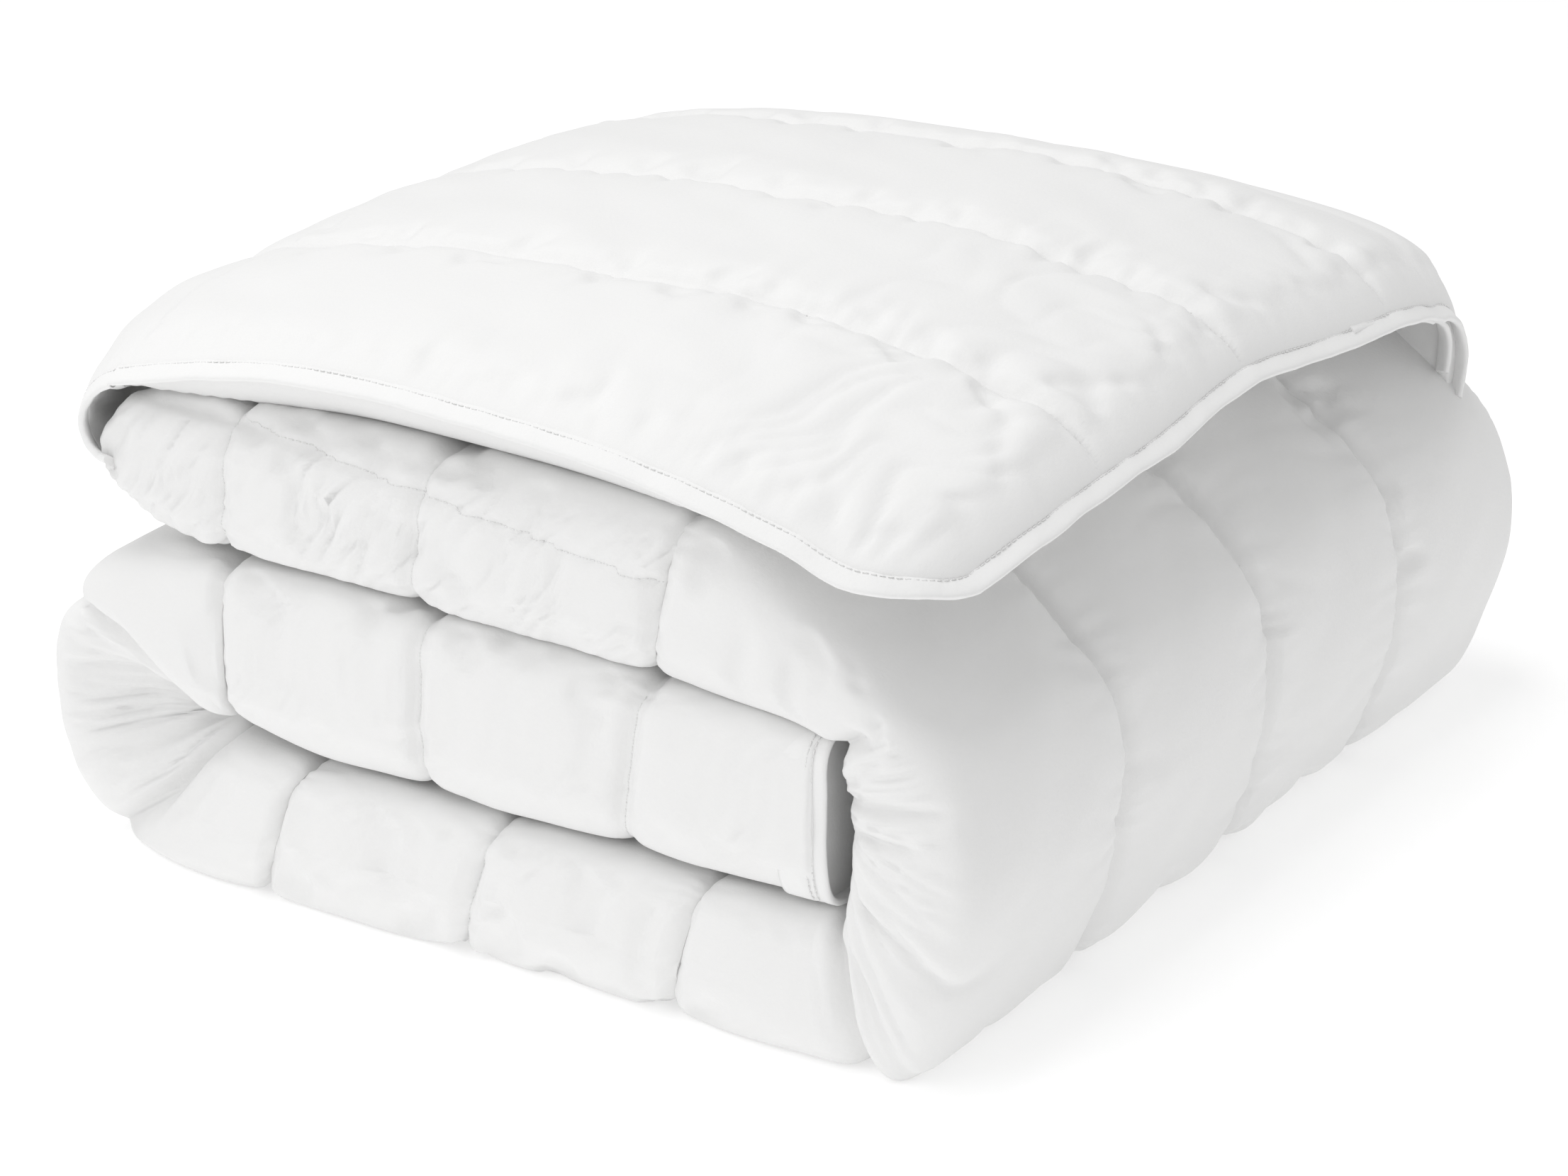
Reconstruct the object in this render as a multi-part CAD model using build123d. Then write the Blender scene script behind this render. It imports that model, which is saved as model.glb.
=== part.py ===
"""A king-size quilted duvet, folded into a square stack, with its free end laid back over the top as a flap.

The stack is one strip of duvet wound round itself. Seen from the front it runs from the hem of the
inner layer to the left, down round the left fold, to the right along the bottom layer, up the right
wrap, and back along the upper layer. The free end comes round the flap fold at the upper left and lies
on top as a double sheet, with its bound edges to the front and to the right.

The row frame has +X to the right along the front, +Y to the back and +Z up, in millimetres. The origin
is on the surface that the duvet rests on, under the middle of the stack. Every pocket of the quilting
is a cover with its own fill inside it, and the thread of each seam lies between two pockets.
"""

import os

from build123d import *

# Overall size of the folded duvet.
WIDTH = 600.0
DEPTH = 660.0
HEIGHT = 345.0

# The levels of the layers, from the surface up.
BOTTOM_TOP = 88.0
INNER_BASE, INNER_TOP = 88.5, 193.5
UPPER_BASE, UPPER_TOP = 194.0, 284.0
FLAP_BASE = 286.0
SHEET_PARTING = 304.0

# Fabric, thread and the clearances between soft pieces.
COVER = 1.0
FILL_CLEARANCE = 0.3
POCKET_GAP = 0.4
THREAD = 1.6
THREAD_INSET = 3.0
GROOVE_RADIUS = 10.0

# The two upright ends of the stack: the right wrap and the left fold.
WRAP_INNER = 232.0
WRAP_CORNER = 42.0
LEFT_INNER = -245.0
LEFT_CORNER = 30.0
CHANNELS = 4
CHANNEL_PITCH = DEPTH / CHANNELS

# Where the seams cross the front of each layer.
BOTTOM_SEAMS = (-245.0, -140.0, -5.0, 130.0, 231.0)
INNER_SEAMS = (-245.0, -165.0, -30.0, 107.0, 214.0)
UPPER_SEAMS = (-243.5, -160.0, -25.0, 122.0, 231.0)

# The flap: its two stretches along X, its seams along Y, and its bound edges.
FLAP_LEFT, FLAP_BEND, FLAP_RIGHT = -244.0, 0.0, 284.0
FLAP_SEAMS = (-165.0, 0.0, 165.0)
BINDING_WIDTH = 14.0
BINDING_THICKNESS = 4.0
BINDING_BASE = 290.0
BINDING_CORNER = 46.0
FLAP_SEAM_GAP = 2.4
BEND_GAP = 0.6
BACK_FOLD_RADIUS = 27.0
CROWN_ALONG_X = 1900.0
CROWN_ALONG_Y = 2200.0

# The flap fold at the upper left, and the hem that closes the inner layer.
FOLD_X, FOLD_Z = -245.0, 280.0
FOLD_OUTER, FOLD_INNER = 35.0, 6.5
FOLD_FRONT_INSET = 15.0
HEM_WIDTH = 14.0
HEM_THICKNESS = 3.5

# The blank care label, sewn under the flap's right-hand binding near the back.
LABEL_SIZE = (40.0, 30.0, 0.6)
LABEL_CENTRE = (243.0, 120.0, 285.3)

EDGE_Y = DEPTH / 2
EDGE_X = WIDTH / 2


def export(solids, node):
    """Write one node's solids as one STEP file."""
    shape = solids[0] if len(solids) == 1 else Compound(children=solids)
    export_step(shape, f"parts/{node}.step")


def stadium(low_y, high_y, low_z, high_z):
    """The cross-section of a folded layer: flat above and below, round at the front and the back."""
    height = high_z - low_z
    centre = Plane.YZ * Pos((low_y + high_y) / 2, (low_z + high_z) / 2)
    return centre * RectangleRounded(high_y - low_y, height, height / 2 - 0.01)


def layer_pocket(low_x, high_x, low_z, high_z, inset):
    """One pocket across a layer, drawn in by inset on every side, with rounded rims at its two seams."""
    section = stadium(-EDGE_Y + inset, EDGE_Y - inset, low_z + inset, high_z - inset)
    length = high_x - low_x - 2 * inset
    solid = Pos(low_x + inset, 0, 0) * extrude(section, length)
    rims = solid.faces().filter_by(Axis.X).edges()
    return fillet(rims, GROOVE_RADIUS - inset)


def cover_and_fill(make):
    """The cover of a pocket, and the fill inside it, from a function that takes the inset."""
    return make(0) - make(COVER), make(COVER + FILL_CLEARANCE)


def layer(name, seams, low_z, high_z):
    """The pockets of one layer between its seams, and the rings of thread that part them."""
    covers, fills = [], []
    for low_x, high_x in zip(seams, seams[1:]):
        span = (low_x, high_x - POCKET_GAP, low_z, high_z)
        cover, fill = cover_and_fill(lambda inset, s=span: layer_pocket(*s, inset))
        covers.append(cover)
        fills.append(fill)
    rings = []
    for seam in seams[1:-1]:
        outer, inner = (
            stadium(-EDGE_Y + i, EDGE_Y - i, low_z + i, high_z - i)
            for i in (THREAD_INSET, THREAD_INSET + THREAD)
        )
        rings.append(Pos(seam - (POCKET_GAP + THREAD) / 2, 0, 0) * extrude(outer - inner, THREAD))
    export(covers, f"{name}_cover")
    export(fills, f"{name}_fill")
    export(rings, f"{name}_stitching")


def upright_section(inner_x, outer_x, high_z, corner, inset):
    """The D-shaped section of an upright end: flat inside, with its two outer corners rounded."""
    side = 1 if outer_x > inner_x else -1
    near, far = inner_x + side * inset, outer_x - side * inset
    low, high, radius = inset, high_z - inset, corner - inset
    turn = radius * (1 - 2**-0.5)
    outline = [
        Line((near, low), (far - side * radius, low)),
        ThreePointArc((far - side * radius, low), (far - side * turn, low + turn), (far, low + radius)),
        Line((far, low + radius), (far, high - radius)),
        ThreePointArc((far, high - radius), (far - side * turn, high - turn), (far - side * radius, high)),
        Line((far - side * radius, high), (near, high)),
        Line((near, high), (near, low)),
    ]
    # The XZ plane's normal points to -Y, so a section extruded by a negative length runs to the back.
    return Plane.XZ * make_face(outline)


def upright_channel(inner_x, outer_x, high_z, corner, low_y, high_y, inset):
    """One channel of an upright end, drawn in by inset on every side, with its outer rims rounded."""
    section = upright_section(inner_x, outer_x, high_z, corner, inset)
    solid = Pos(0, low_y + inset, 0) * extrude(section, -(high_y - low_y - 2 * inset))
    rims = [
        edge
        for face in solid.faces().filter_by(Axis.Y)
        for edge in face.edges()
        if abs(edge.center().X - inner_x) > 3 * COVER
    ]
    return fillet(rims, GROOVE_RADIUS - inset)


def upright_end(name, inner_x, outer_x, high_z, corner):
    """The channels of the right wrap or the left fold, and the thread between them."""
    covers, fills, threads = [], [], []
    for number in range(CHANNELS):
        low_y = -EDGE_Y + number * CHANNEL_PITCH
        span = (inner_x, outer_x, high_z, corner, low_y, low_y + CHANNEL_PITCH - POCKET_GAP)
        cover, fill = cover_and_fill(lambda inset, s=span: upright_channel(*s, inset))
        covers.append(cover)
        fills.append(fill)
        if number:
            outer = upright_section(inner_x, outer_x, high_z, corner, THREAD_INSET)
            inner = upright_section(inner_x, outer_x, high_z, corner, THREAD_INSET + THREAD)
            side = 1 if outer_x > inner_x else -1
            reach = abs(outer_x - inner_x)
            window = Pos(inner_x + side * (GROOVE_RADIUS + reach) / 2, 0, high_z / 2)
            window *= Box(reach - GROOVE_RADIUS, DEPTH, high_z - 2 * GROOVE_RADIUS)
            ring = Pos(0, low_y - (POCKET_GAP + THREAD) / 2, 0) * extrude(outer - inner, -THREAD)
            far_side = window & ring
            threads += [s for s in far_side.solids() if abs(s.center().X - outer_x) < GROOVE_RADIUS]
    export(covers, f"{name}_cover")
    export(fills, f"{name}_fill")
    export(threads, f"{name}_stitching")


def crown(inset):
    """The body that the flap is cut from: domed along X and Y, and rounded where it folds at the back."""
    tops = (
        Pos(0, 0, HEIGHT - CROWN_ALONG_X) * Rot(90, 0, 0) * Cylinder(CROWN_ALONG_X - inset, 2 * DEPTH),
        Pos(0, 0, HEIGHT - CROWN_ALONG_Y) * Rot(0, 90, 0) * Cylinder(CROWN_ALONG_Y - inset, 2 * WIDTH),
    )
    length = 2 * DEPTH
    slab = Plane.YZ * Pos(EDGE_Y - inset - length / 2, (FLAP_BASE + HEIGHT) / 2)
    slab *= RectangleRounded(length, HEIGHT - FLAP_BASE - 2 * inset, BACK_FOLD_RADIUS - inset)
    envelope = Pos(-WIDTH, 0, 0) * extrude(slab, 2 * WIDTH)
    return envelope & tops[0] & tops[1]


def flap_block(low_x, high_x, low_y, high_y, low_z, high_z, corner, body, inset):
    """A block of the flap, cut from its domed body. A corner above 0 rounds the front right edge."""
    size = (high_x - low_x - 2 * inset, high_y - low_y - 2 * inset, high_z - low_z - 2 * inset)
    centre = ((low_x + high_x) / 2, (low_y + high_y) / 2, (low_z + high_z) / 2)
    block = Pos(*centre) * Box(*size)
    if corner:
        upright = block.edges().filter_by(Axis.Z).sort_by(Axis.X)[-2:].sort_by(Axis.Y)[0]
        block = fillet(upright, corner - inset)
    return block & body


def flap_stretch(name, low_x, high_x, corner=0.0):
    """One rigid stretch of the flap: its six pockets, its seams and the thread in them."""
    bodies = {inset: crown(inset) for inset in (0.0, COVER, COVER + FILL_CLEARANCE)}
    front, *middle, back = FLAP_SEAMS
    half_gap = FLAP_SEAM_GAP / 2
    front_edge = -EDGE_Y + BINDING_WIDTH + POCKET_GAP
    ceiling = HEIGHT + 1.0
    blocks = [
        (front_edge, front - half_gap, FLAP_BASE, ceiling, corner),
        (back + half_gap, EDGE_Y, FLAP_BASE, ceiling, 0.0),
    ]
    for low_y, high_y in zip(FLAP_SEAMS, FLAP_SEAMS[1:]):
        blocks.append((low_y + half_gap, high_y - half_gap, FLAP_BASE, SHEET_PARTING, 0.0))
        blocks.append((low_y + half_gap, high_y - half_gap, SHEET_PARTING + POCKET_GAP, ceiling, 0.0))
    covers, fills = [], []
    for low_y, high_y, low_z, high_z, rounding in blocks:
        span = (low_x, high_x, low_y, high_y, low_z, high_z, rounding)
        cover, fill = cover_and_fill(
            lambda inset, s=span: flap_block(*s, bodies[float(inset)], float(inset)).solid()
        )
        covers.append(cover)
        fills.append(fill)
    threads = [
        Pos((low_x + high_x) / 2, seam, SHEET_PARTING + 4 * THREAD) * Box(high_x - low_x, THREAD, THREAD)
        for seam in FLAP_SEAMS
    ]
    export(covers, f"{name}_cover")
    export(fills, f"{name}_fill")
    export(threads, f"{name}_stitching")


def front_binding(name, low_x, high_x):
    """A straight stretch of the flat tape that binds the flap's front edge."""
    centre = ((low_x + high_x) / 2, -EDGE_Y + BINDING_WIDTH / 2, BINDING_BASE + BINDING_THICKNESS / 2)
    export([Pos(*centre) * Box(high_x - low_x, BINDING_WIDTH, BINDING_THICKNESS)], name)


def corner_binding(name, low_x):
    """The tape round the flap's front right corner and along its right edge to the back fold."""
    high_y = EDGE_Y - BACK_FOLD_RADIUS
    left, front = low_x, -EDGE_Y
    shapes = []
    for inset in (0.0, BINDING_WIDTH):
        right, near, radius = FLAP_RIGHT - inset, front + inset, BINDING_CORNER - inset
        turn = radius * (1 - 2**-0.5)
        shapes.append(
            make_face(
                [
                    Line((left, near), (right - radius, near)),
                    ThreePointArc((right - radius, near), (right - turn, near + turn), (right, near + radius)),
                    Line((right, near + radius), (right, high_y)),
                    Line((right, high_y), (left, high_y)),
                    Line((left, high_y), (left, near)),
                ]
            )
        )
    band = extrude(shapes[0] - shapes[1], BINDING_THICKNESS)
    export([Pos(0, 0, BINDING_BASE) * band.solid()], name)


def lower_binding(name):
    """The tape on the right edge of the flap's lower sheet."""
    low_y, high_y = FLAP_SEAMS[0], EDGE_Y - BACK_FOLD_RADIUS
    centre = (FLAP_RIGHT - BINDING_WIDTH / 2, (low_y + high_y) / 2, FLAP_BASE + BINDING_THICKNESS / 2)
    export([Pos(*centre) * Box(BINDING_WIDTH, high_y - low_y, BINDING_THICKNESS)], name)


def fold_channel(low_y, high_y, inset):
    """One channel of the flap fold: a half ring open to the right, drawn in by inset on every side."""
    outer, inner = FOLD_OUTER - inset, FOLD_INNER + inset
    edge = FOLD_X - inset
    ring = Circle(outer) - Circle(inner)
    left_half = Pos(-outer / 2 - inset, 0) * Rectangle(outer, 2 * outer + 1)
    section = Plane.XZ * Pos(edge + inset, FOLD_Z) * (ring & left_half)
    return (Pos(0, low_y + inset, 0) * extrude(section, -(high_y - low_y - 2 * inset))).solid()


def flap_fold():
    """The round fold that joins the flap to the stack, its fill, and the binding that turns round it."""
    edges = (-EDGE_Y + FOLD_FRONT_INSET, *FLAP_SEAMS, EDGE_Y)
    covers, fills = [], []
    for low_y, high_y in zip(edges, edges[1:]):
        span = (low_y + FLAP_SEAM_GAP / 2, high_y - FLAP_SEAM_GAP / 2)
        cover, fill = cover_and_fill(lambda inset, s=span: fold_channel(*s, inset))
        covers.append(cover)
        fills.append(fill)
    ring = Circle(FOLD_OUTER) - Circle(FOLD_OUTER - BINDING_THICKNESS)
    half = Pos(-FOLD_OUTER / 2, 0) * Rectangle(FOLD_OUTER, 2 * FOLD_OUTER + 1)
    section = Plane.XZ * Pos(FOLD_X, FOLD_Z) * (ring & half)
    tape = (Pos(0, -EDGE_Y, 0) * extrude(section, -BINDING_WIDTH)).solid()
    export(covers, "flap_fold_cover")
    export(fills, "flap_fold_fill")
    export([tape], "flap_fold_binding")


def inner_hem():
    """The bound hem that ends the inner layer, a flat ring round its open end."""
    outer = stadium(-EDGE_Y, EDGE_Y, INNER_BASE, INNER_TOP)
    inner = stadium(
        -EDGE_Y + HEM_THICKNESS,
        EDGE_Y - HEM_THICKNESS,
        INNER_BASE + HEM_THICKNESS,
        INNER_TOP - HEM_THICKNESS,
    )
    start = INNER_SEAMS[-1] + POCKET_GAP
    export([Pos(start, 0, 0) * extrude(outer - inner, HEM_WIDTH)], "inner_layer_hem")


def care_label():
    """The blank care label."""
    export([Pos(*LABEL_CENTRE) * Box(*LABEL_SIZE)], "care_label")


os.makedirs("parts", exist_ok=True)
layer("bottom_layer", BOTTOM_SEAMS, 0.0, BOTTOM_TOP)
layer("inner_layer", INNER_SEAMS, INNER_BASE, INNER_TOP)
layer("upper_layer", UPPER_SEAMS, UPPER_BASE, UPPER_TOP)
upright_end("right_wrap", WRAP_INNER, EDGE_X, UPPER_TOP, WRAP_CORNER)
upright_end("left_fold", LEFT_INNER - POCKET_GAP, -EDGE_X, INNER_TOP, LEFT_CORNER)
inner_hem()
flap_fold()
flap_right = FLAP_RIGHT - BINDING_WIDTH - POCKET_GAP
near_bend, far_bend = FLAP_BEND - BEND_GAP / 2, FLAP_BEND + BEND_GAP / 2
flap_stretch("flap_near_fold", FLAP_LEFT, near_bend)
flap_stretch("flap_end", far_bend, flap_right, BINDING_CORNER - BINDING_WIDTH)
front_binding("flap_near_fold_binding", FLAP_LEFT, near_bend)
corner_binding("flap_end_binding", far_bend)
lower_binding("flap_end_lower_binding")
care_label()
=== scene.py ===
"""The looks of a quilted white duvet, folded into a thick stack with its free end laid back on top.

The duvet is one long strip folded round itself. Each stretch of the strip between two quilting seams is
a closed padded piece, lofted between an outer and an inner line seen from the front. The flap on top is
a domed pad with a bound edge, and a rolled fold joins it to the stack at the left.

Lengths are in metres, in the row frame: +X to the right along the front, +Y to the back, +Z up.
"""

import logging
import math
from collections.abc import Callable, Sequence
from dataclasses import dataclass
from enum import Enum
from typing import ClassVar

import bmesh
import bpy
import numpy as np
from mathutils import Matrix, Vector


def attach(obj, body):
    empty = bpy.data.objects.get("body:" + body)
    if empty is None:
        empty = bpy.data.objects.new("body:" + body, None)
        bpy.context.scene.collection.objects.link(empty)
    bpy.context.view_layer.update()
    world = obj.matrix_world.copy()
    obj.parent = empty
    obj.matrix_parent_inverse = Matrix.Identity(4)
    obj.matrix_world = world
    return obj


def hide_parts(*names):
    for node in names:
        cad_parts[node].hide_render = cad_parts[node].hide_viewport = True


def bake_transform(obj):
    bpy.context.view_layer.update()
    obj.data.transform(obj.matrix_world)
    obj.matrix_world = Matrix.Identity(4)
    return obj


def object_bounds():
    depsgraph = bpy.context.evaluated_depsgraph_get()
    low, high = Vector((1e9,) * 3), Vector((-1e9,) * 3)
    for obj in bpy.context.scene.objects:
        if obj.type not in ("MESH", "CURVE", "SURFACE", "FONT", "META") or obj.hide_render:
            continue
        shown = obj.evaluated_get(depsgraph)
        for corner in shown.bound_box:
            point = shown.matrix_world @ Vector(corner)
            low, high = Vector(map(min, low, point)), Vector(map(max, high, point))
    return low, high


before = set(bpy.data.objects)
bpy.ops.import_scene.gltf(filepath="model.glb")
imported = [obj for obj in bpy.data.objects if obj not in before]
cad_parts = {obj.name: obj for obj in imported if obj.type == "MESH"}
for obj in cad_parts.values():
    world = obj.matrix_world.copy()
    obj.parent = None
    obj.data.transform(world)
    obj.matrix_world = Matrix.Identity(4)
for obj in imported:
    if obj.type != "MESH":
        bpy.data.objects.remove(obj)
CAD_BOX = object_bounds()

Array = np.ndarray
Piece = bpy.types.Object

log = logging.getLogger("duvet")

HALF_DEPTH = 0.33
STACK_BODY, NEAR_BODY, END_BODY = "folded_stack", "flap_near_fold", "flap_end"

# A seam's groove: the reach of its narrow pinch, the reach of its broad hollow, and the pinch's share.
PINCH_REACH, HOLLOW_REACH, PINCH_SHARE = 0.013, 0.06, 0.6
# How far the seam attribute and the small gathers reach from a seam.
SEAM_FADE = 0.016
# The parting at which two points of a grid's closed edge count as one.
WELD = 1e-6
TINY = 1e-9


# Numbers and fields -----------------------------------------------------------------------------------


def smooth(low: float, high: float, value: Array | float) -> Array:
    """A smooth step.

    Args:
        low: The value at which the step starts.
        high: The value at which it is complete. It may be below low, for a falling step.
        value: The numbers to step.

    Returns:
        The share of the step, from 0 to 1.
    """
    t = np.clip((value - low) / (high - low), 0, 1)
    return t * t * (3 - 2 * t)


def gradient_noise(x: Array, y: Array, seed: int = 0) -> Array:
    """Gradient noise over the plane, the same on every run.

    Args:
        x: First coordinate, an array.
        y: Second coordinate, an array of the same shape.
        seed: Picks one field out of many.

    Returns:
        Values of about -1 to 1.
    """
    x0, y0 = np.floor(x), np.floor(y)
    fx, fy = x - x0, y - y0
    x0, y0 = x0.astype(np.int64), y0.astype(np.int64)

    def corner(i: int, j: int) -> Array:
        """The pull of one corner of each point's cell.

        Args:
            i: 0 for the cell's low side, 1 for its high side, along the first coordinate.
            j: The same along the second coordinate.

        Returns:
            The pull at each point.
        """
        h = (x0 + i) * 374761393 + (y0 + j) * 668265263 + seed * 1442695041
        h = (h ^ (h >> 13)) * 1274126177
        h = (h ^ (h >> 16)) & 0xFFFF
        angle = h * (2 * math.pi / 65536)
        return np.cos(angle) * (fx - i) + np.sin(angle) * (fy - j)

    u, v = fx**3 * (fx * (fx * 6 - 15) + 10), fy**3 * (fy * (fy * 6 - 15) + 10)
    low = corner(0, 0) * (1 - u) + corner(1, 0) * u
    high = corner(0, 1) * (1 - u) + corner(1, 1) * u
    return 1.5 * (low * (1 - v) + high * v)


def puff(share: Array) -> Array:
    """The profile of a filled pocket from a seam, 0, to the pocket's middle, 1."""
    t = np.clip(share, 0, 1)
    return (1 - (1 - t) ** 2.6) ** 0.55


def dip(gap: Array, half: Array) -> Array:
    """The depth of a seam's groove: a narrow pinch in a broad gentle hollow.

    Args:
        gap: Distance from the seam.
        half: Half the distance between two seams.

    Returns:
        The depth, 1 on the seam and 0 on the pocket's crown.
    """
    narrow = 1 - puff(gap / PINCH_REACH)
    broad = 1 - puff(gap / np.minimum(half, HOLLOW_REACH))
    return PINCH_SHARE * narrow + (1 - PINCH_SHARE) * broad


def pinch(noise: Array) -> Array:
    """Turn smooth noise into puffed folds parted by sharp pinched lines."""
    return 1.5 * np.abs(noise) ** 0.75 - 0.6


def walked(line: Array) -> Array:
    """The distance walked along a line of points, from 0 at its first point."""
    return np.concatenate([[0], np.cumsum(np.linalg.norm(np.diff(line, axis=0), axis=1))])


def unit(vectors: Array) -> Array:
    """Vectors, along the last axis, brought to a length of one."""
    return vectors / np.maximum(np.linalg.norm(vectors, axis=-1, keepdims=True), TINY)


def spline(points: Sequence, count: int, measure: int | None = None) -> Array:
    """A smooth line through points, sampled evenly along its length.

    Args:
        points: Control points, as rows of coordinates.
        count: The number of samples.
        measure: How many of the coordinates the length is measured in, or all of them.

    Returns:
        The samples, one row each.
    """
    p = np.asarray(points, float)
    p = np.vstack([2 * p[0] - p[1], p, 2 * p[-1] - p[-2]])
    t = np.linspace(0, 1, 24, endpoint=False)[:, None]
    rows = []
    for a, b, c, d in zip(p, p[1:], p[2:], p[3:]):
        square, cube = 2 * a - 5 * b + 4 * c - d, 3 * b - a - 3 * c + d
        rows.append(0.5 * (2 * b + (c - a) * t + square * t**2 + cube * t**3))
    dense = np.vstack([*rows, p[-2:-1]])
    length = walked(dense[:, :measure])
    wanted = np.linspace(0, length[-1], count)
    return np.stack([np.interp(wanted, length, dense[:, i]) for i in range(dense.shape[1])], axis=1)


def grid_normals(points: Array, wrap: bool) -> Array:
    """Unit normals of a grid of points, along the cross product of its two directions.

    Args:
        points: The grid, of shape (rows, columns, 3).
        wrap: True if the last column joins the first.

    Returns:
        The normals, in the same shape.
    """
    along = np.gradient(points, axis=0)
    if wrap:
        across = (np.roll(points, -1, axis=1) - np.roll(points, 1, axis=1)) / 2
    else:
        across = np.gradient(points, axis=1)
    return unit(np.cross(along, across))


def steps_along(points: Array, axis: int) -> Array:
    """The distance walked along one axis of a grid of points, from 0 at its first row or column.

    Args:
        points: The grid, of shape (rows, columns, 3).
        axis: 0 to walk from row to row, 1 to walk from column to column.

    Returns:
        The distances, of shape (rows, columns).
    """
    step = np.linalg.norm(np.diff(points, axis=axis), axis=2)
    pad = [(1, 0), (0, 0)] if axis == 0 else [(0, 0), (1, 0)]
    return np.pad(np.cumsum(step, axis=axis), pad)


def seam_distance(position: Array, seams: Sequence[float]) -> tuple[Array, Array]:
    """The distance to the nearest seam, and the half-width of the pocket there.

    Args:
        position: Positions along a line, an array.
        seams: Where the seams are on that line, in order.

    Returns:
        A pair of arrays: distances, and half-widths.
    """
    seams = np.asarray(seams, float)
    index = np.clip(np.searchsorted(seams, position), 1, len(seams) - 1)
    low, high = seams[index - 1], seams[index]
    return np.maximum(np.minimum(position - low, high - position), 0), (high - low) / 2


# Meshes ---------------------------------------------------------------------------------------------


def grid_mesh(points: Array) -> tuple[bmesh.types.BMesh, Array]:
    """A sheet of faces laid over a grid of points.

    Args:
        points: The grid, of shape (rows, columns, 3).

    Returns:
        The sheet, and the index of its vertex at each point, the grid read row by row.
    """
    rows, columns = points.shape[:2]
    made = bmesh.new()
    bmesh.ops.create_grid(made, x_segments=columns - 1, y_segments=rows - 1, size=1)
    made.verts.ensure_lookup_table()
    order = np.lexsort(([round(v.co.x, 5) for v in made.verts], [round(v.co.y, 5) for v in made.verts]))
    for index, place in zip(order, points.reshape(-1, 3)):
        made.verts[index].co = place
    return made, order


def grid_object(name: str, points: Array, wrap: bool, seam_field: Array, uv: Sequence[Array]) -> Piece:
    """A closed object from a grid of points.

    Args:
        name: The object's name.
        points: The grid, of shape (rows, columns, 3). Its first and last rows are closed with caps.
        wrap: True if the last column joins the first.
        seam_field: A value at each point, 1 on a seam and 0 away from it, kept as an attribute.
        uv: A pair of arrays, the lengths along and across the fabric at each point.

    Returns:
        The object, linked to the scene.
    """
    if wrap:
        points = np.concatenate([points, points[:, :1]], axis=1)
        seam_field = np.concatenate([seam_field, seam_field[:, :1]], axis=1)
        closing = uv[1][:, -1] + np.linalg.norm(points[:, -1] - points[:, -2], axis=1)
        uv = [np.concatenate([uv[0], uv[0][:, :1]], 1), np.concatenate([uv[1], closing[:, None]], 1)]
    made, order = grid_mesh(points)
    lengths = np.stack([a.reshape(-1) for a in uv], axis=1)
    seam_layer = made.verts.layers.float.new("seam")
    uv_layer = made.loops.layers.uv.new("Fabric")
    made.verts.ensure_lookup_table()
    place = {}
    for rank, (index, seam) in enumerate(zip(order, seam_field.reshape(-1))):
        made.verts[index][seam_layer] = seam
        place[index] = rank
    for face in made.faces:
        face.smooth = True
        for loop in face.loops:
            loop[uv_layer].uv = lengths[place[loop.vert.index]]
    if wrap:
        bmesh.ops.remove_doubles(made, verts=made.verts, dist=WELD)
    rims = [e for e in made.edges if e.is_boundary]
    for edge in rims:
        edge.smooth = False
    if rims:
        bmesh.ops.holes_fill(made, edges=rims, sides=0)
    bmesh.ops.triangulate(made, faces=[f for f in made.faces if len(f.verts) > 4])
    bmesh.ops.recalc_face_normals(made, faces=made.faces)
    return linked(name, made)


def linked(name: str, made: bmesh.types.BMesh) -> Piece:
    """An object from a finished bmesh, linked to the scene.

    Args:
        name: The name of the object and of its mesh.
        made: The bmesh, which is freed.

    Returns:
        The object.
    """
    mesh = bpy.data.meshes.new(name)
    made.to_mesh(mesh)
    made.free()
    piece = bpy.data.objects.new(name, mesh)
    bpy.context.scene.collection.objects.link(piece)
    return piece


# Filling --------------------------------------------------------------------------------------------


def spread(count: int, picks: Array, wrap: bool) -> Array:
    """The weights that carry picked samples to every sample of a line, by cubic interpolation.

    Args:
        count: The number of samples.
        picks: The indices of the picked ones, in order.
        wrap: True if the line closes on itself.

    Returns:
        An array of shape (count, number of picks).
    """
    stops = np.append(picks, count) if wrap else np.asarray(picks)
    place = np.interp(np.arange(count), stops, np.arange(len(stops)))
    base = np.minimum(np.floor(place).astype(int), len(stops) - 2)
    t = place - base
    factors = (
        -0.5 * t + t**2 - 0.5 * t**3,
        1 - 2.5 * t**2 + 1.5 * t**3,
        0.5 * t + 2 * t**2 - 1.5 * t**3,
        -0.5 * t**2 + 0.5 * t**3,
    )
    weights = np.zeros((count, len(picks)))
    for shift, factor in zip((-1, 0, 1, 2), factors):
        spot = (base + shift) % len(picks) if wrap else np.clip(base + shift, 0, len(picks) - 1)
        np.add.at(weights, (np.arange(count), spot), factor)
    return weights


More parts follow.
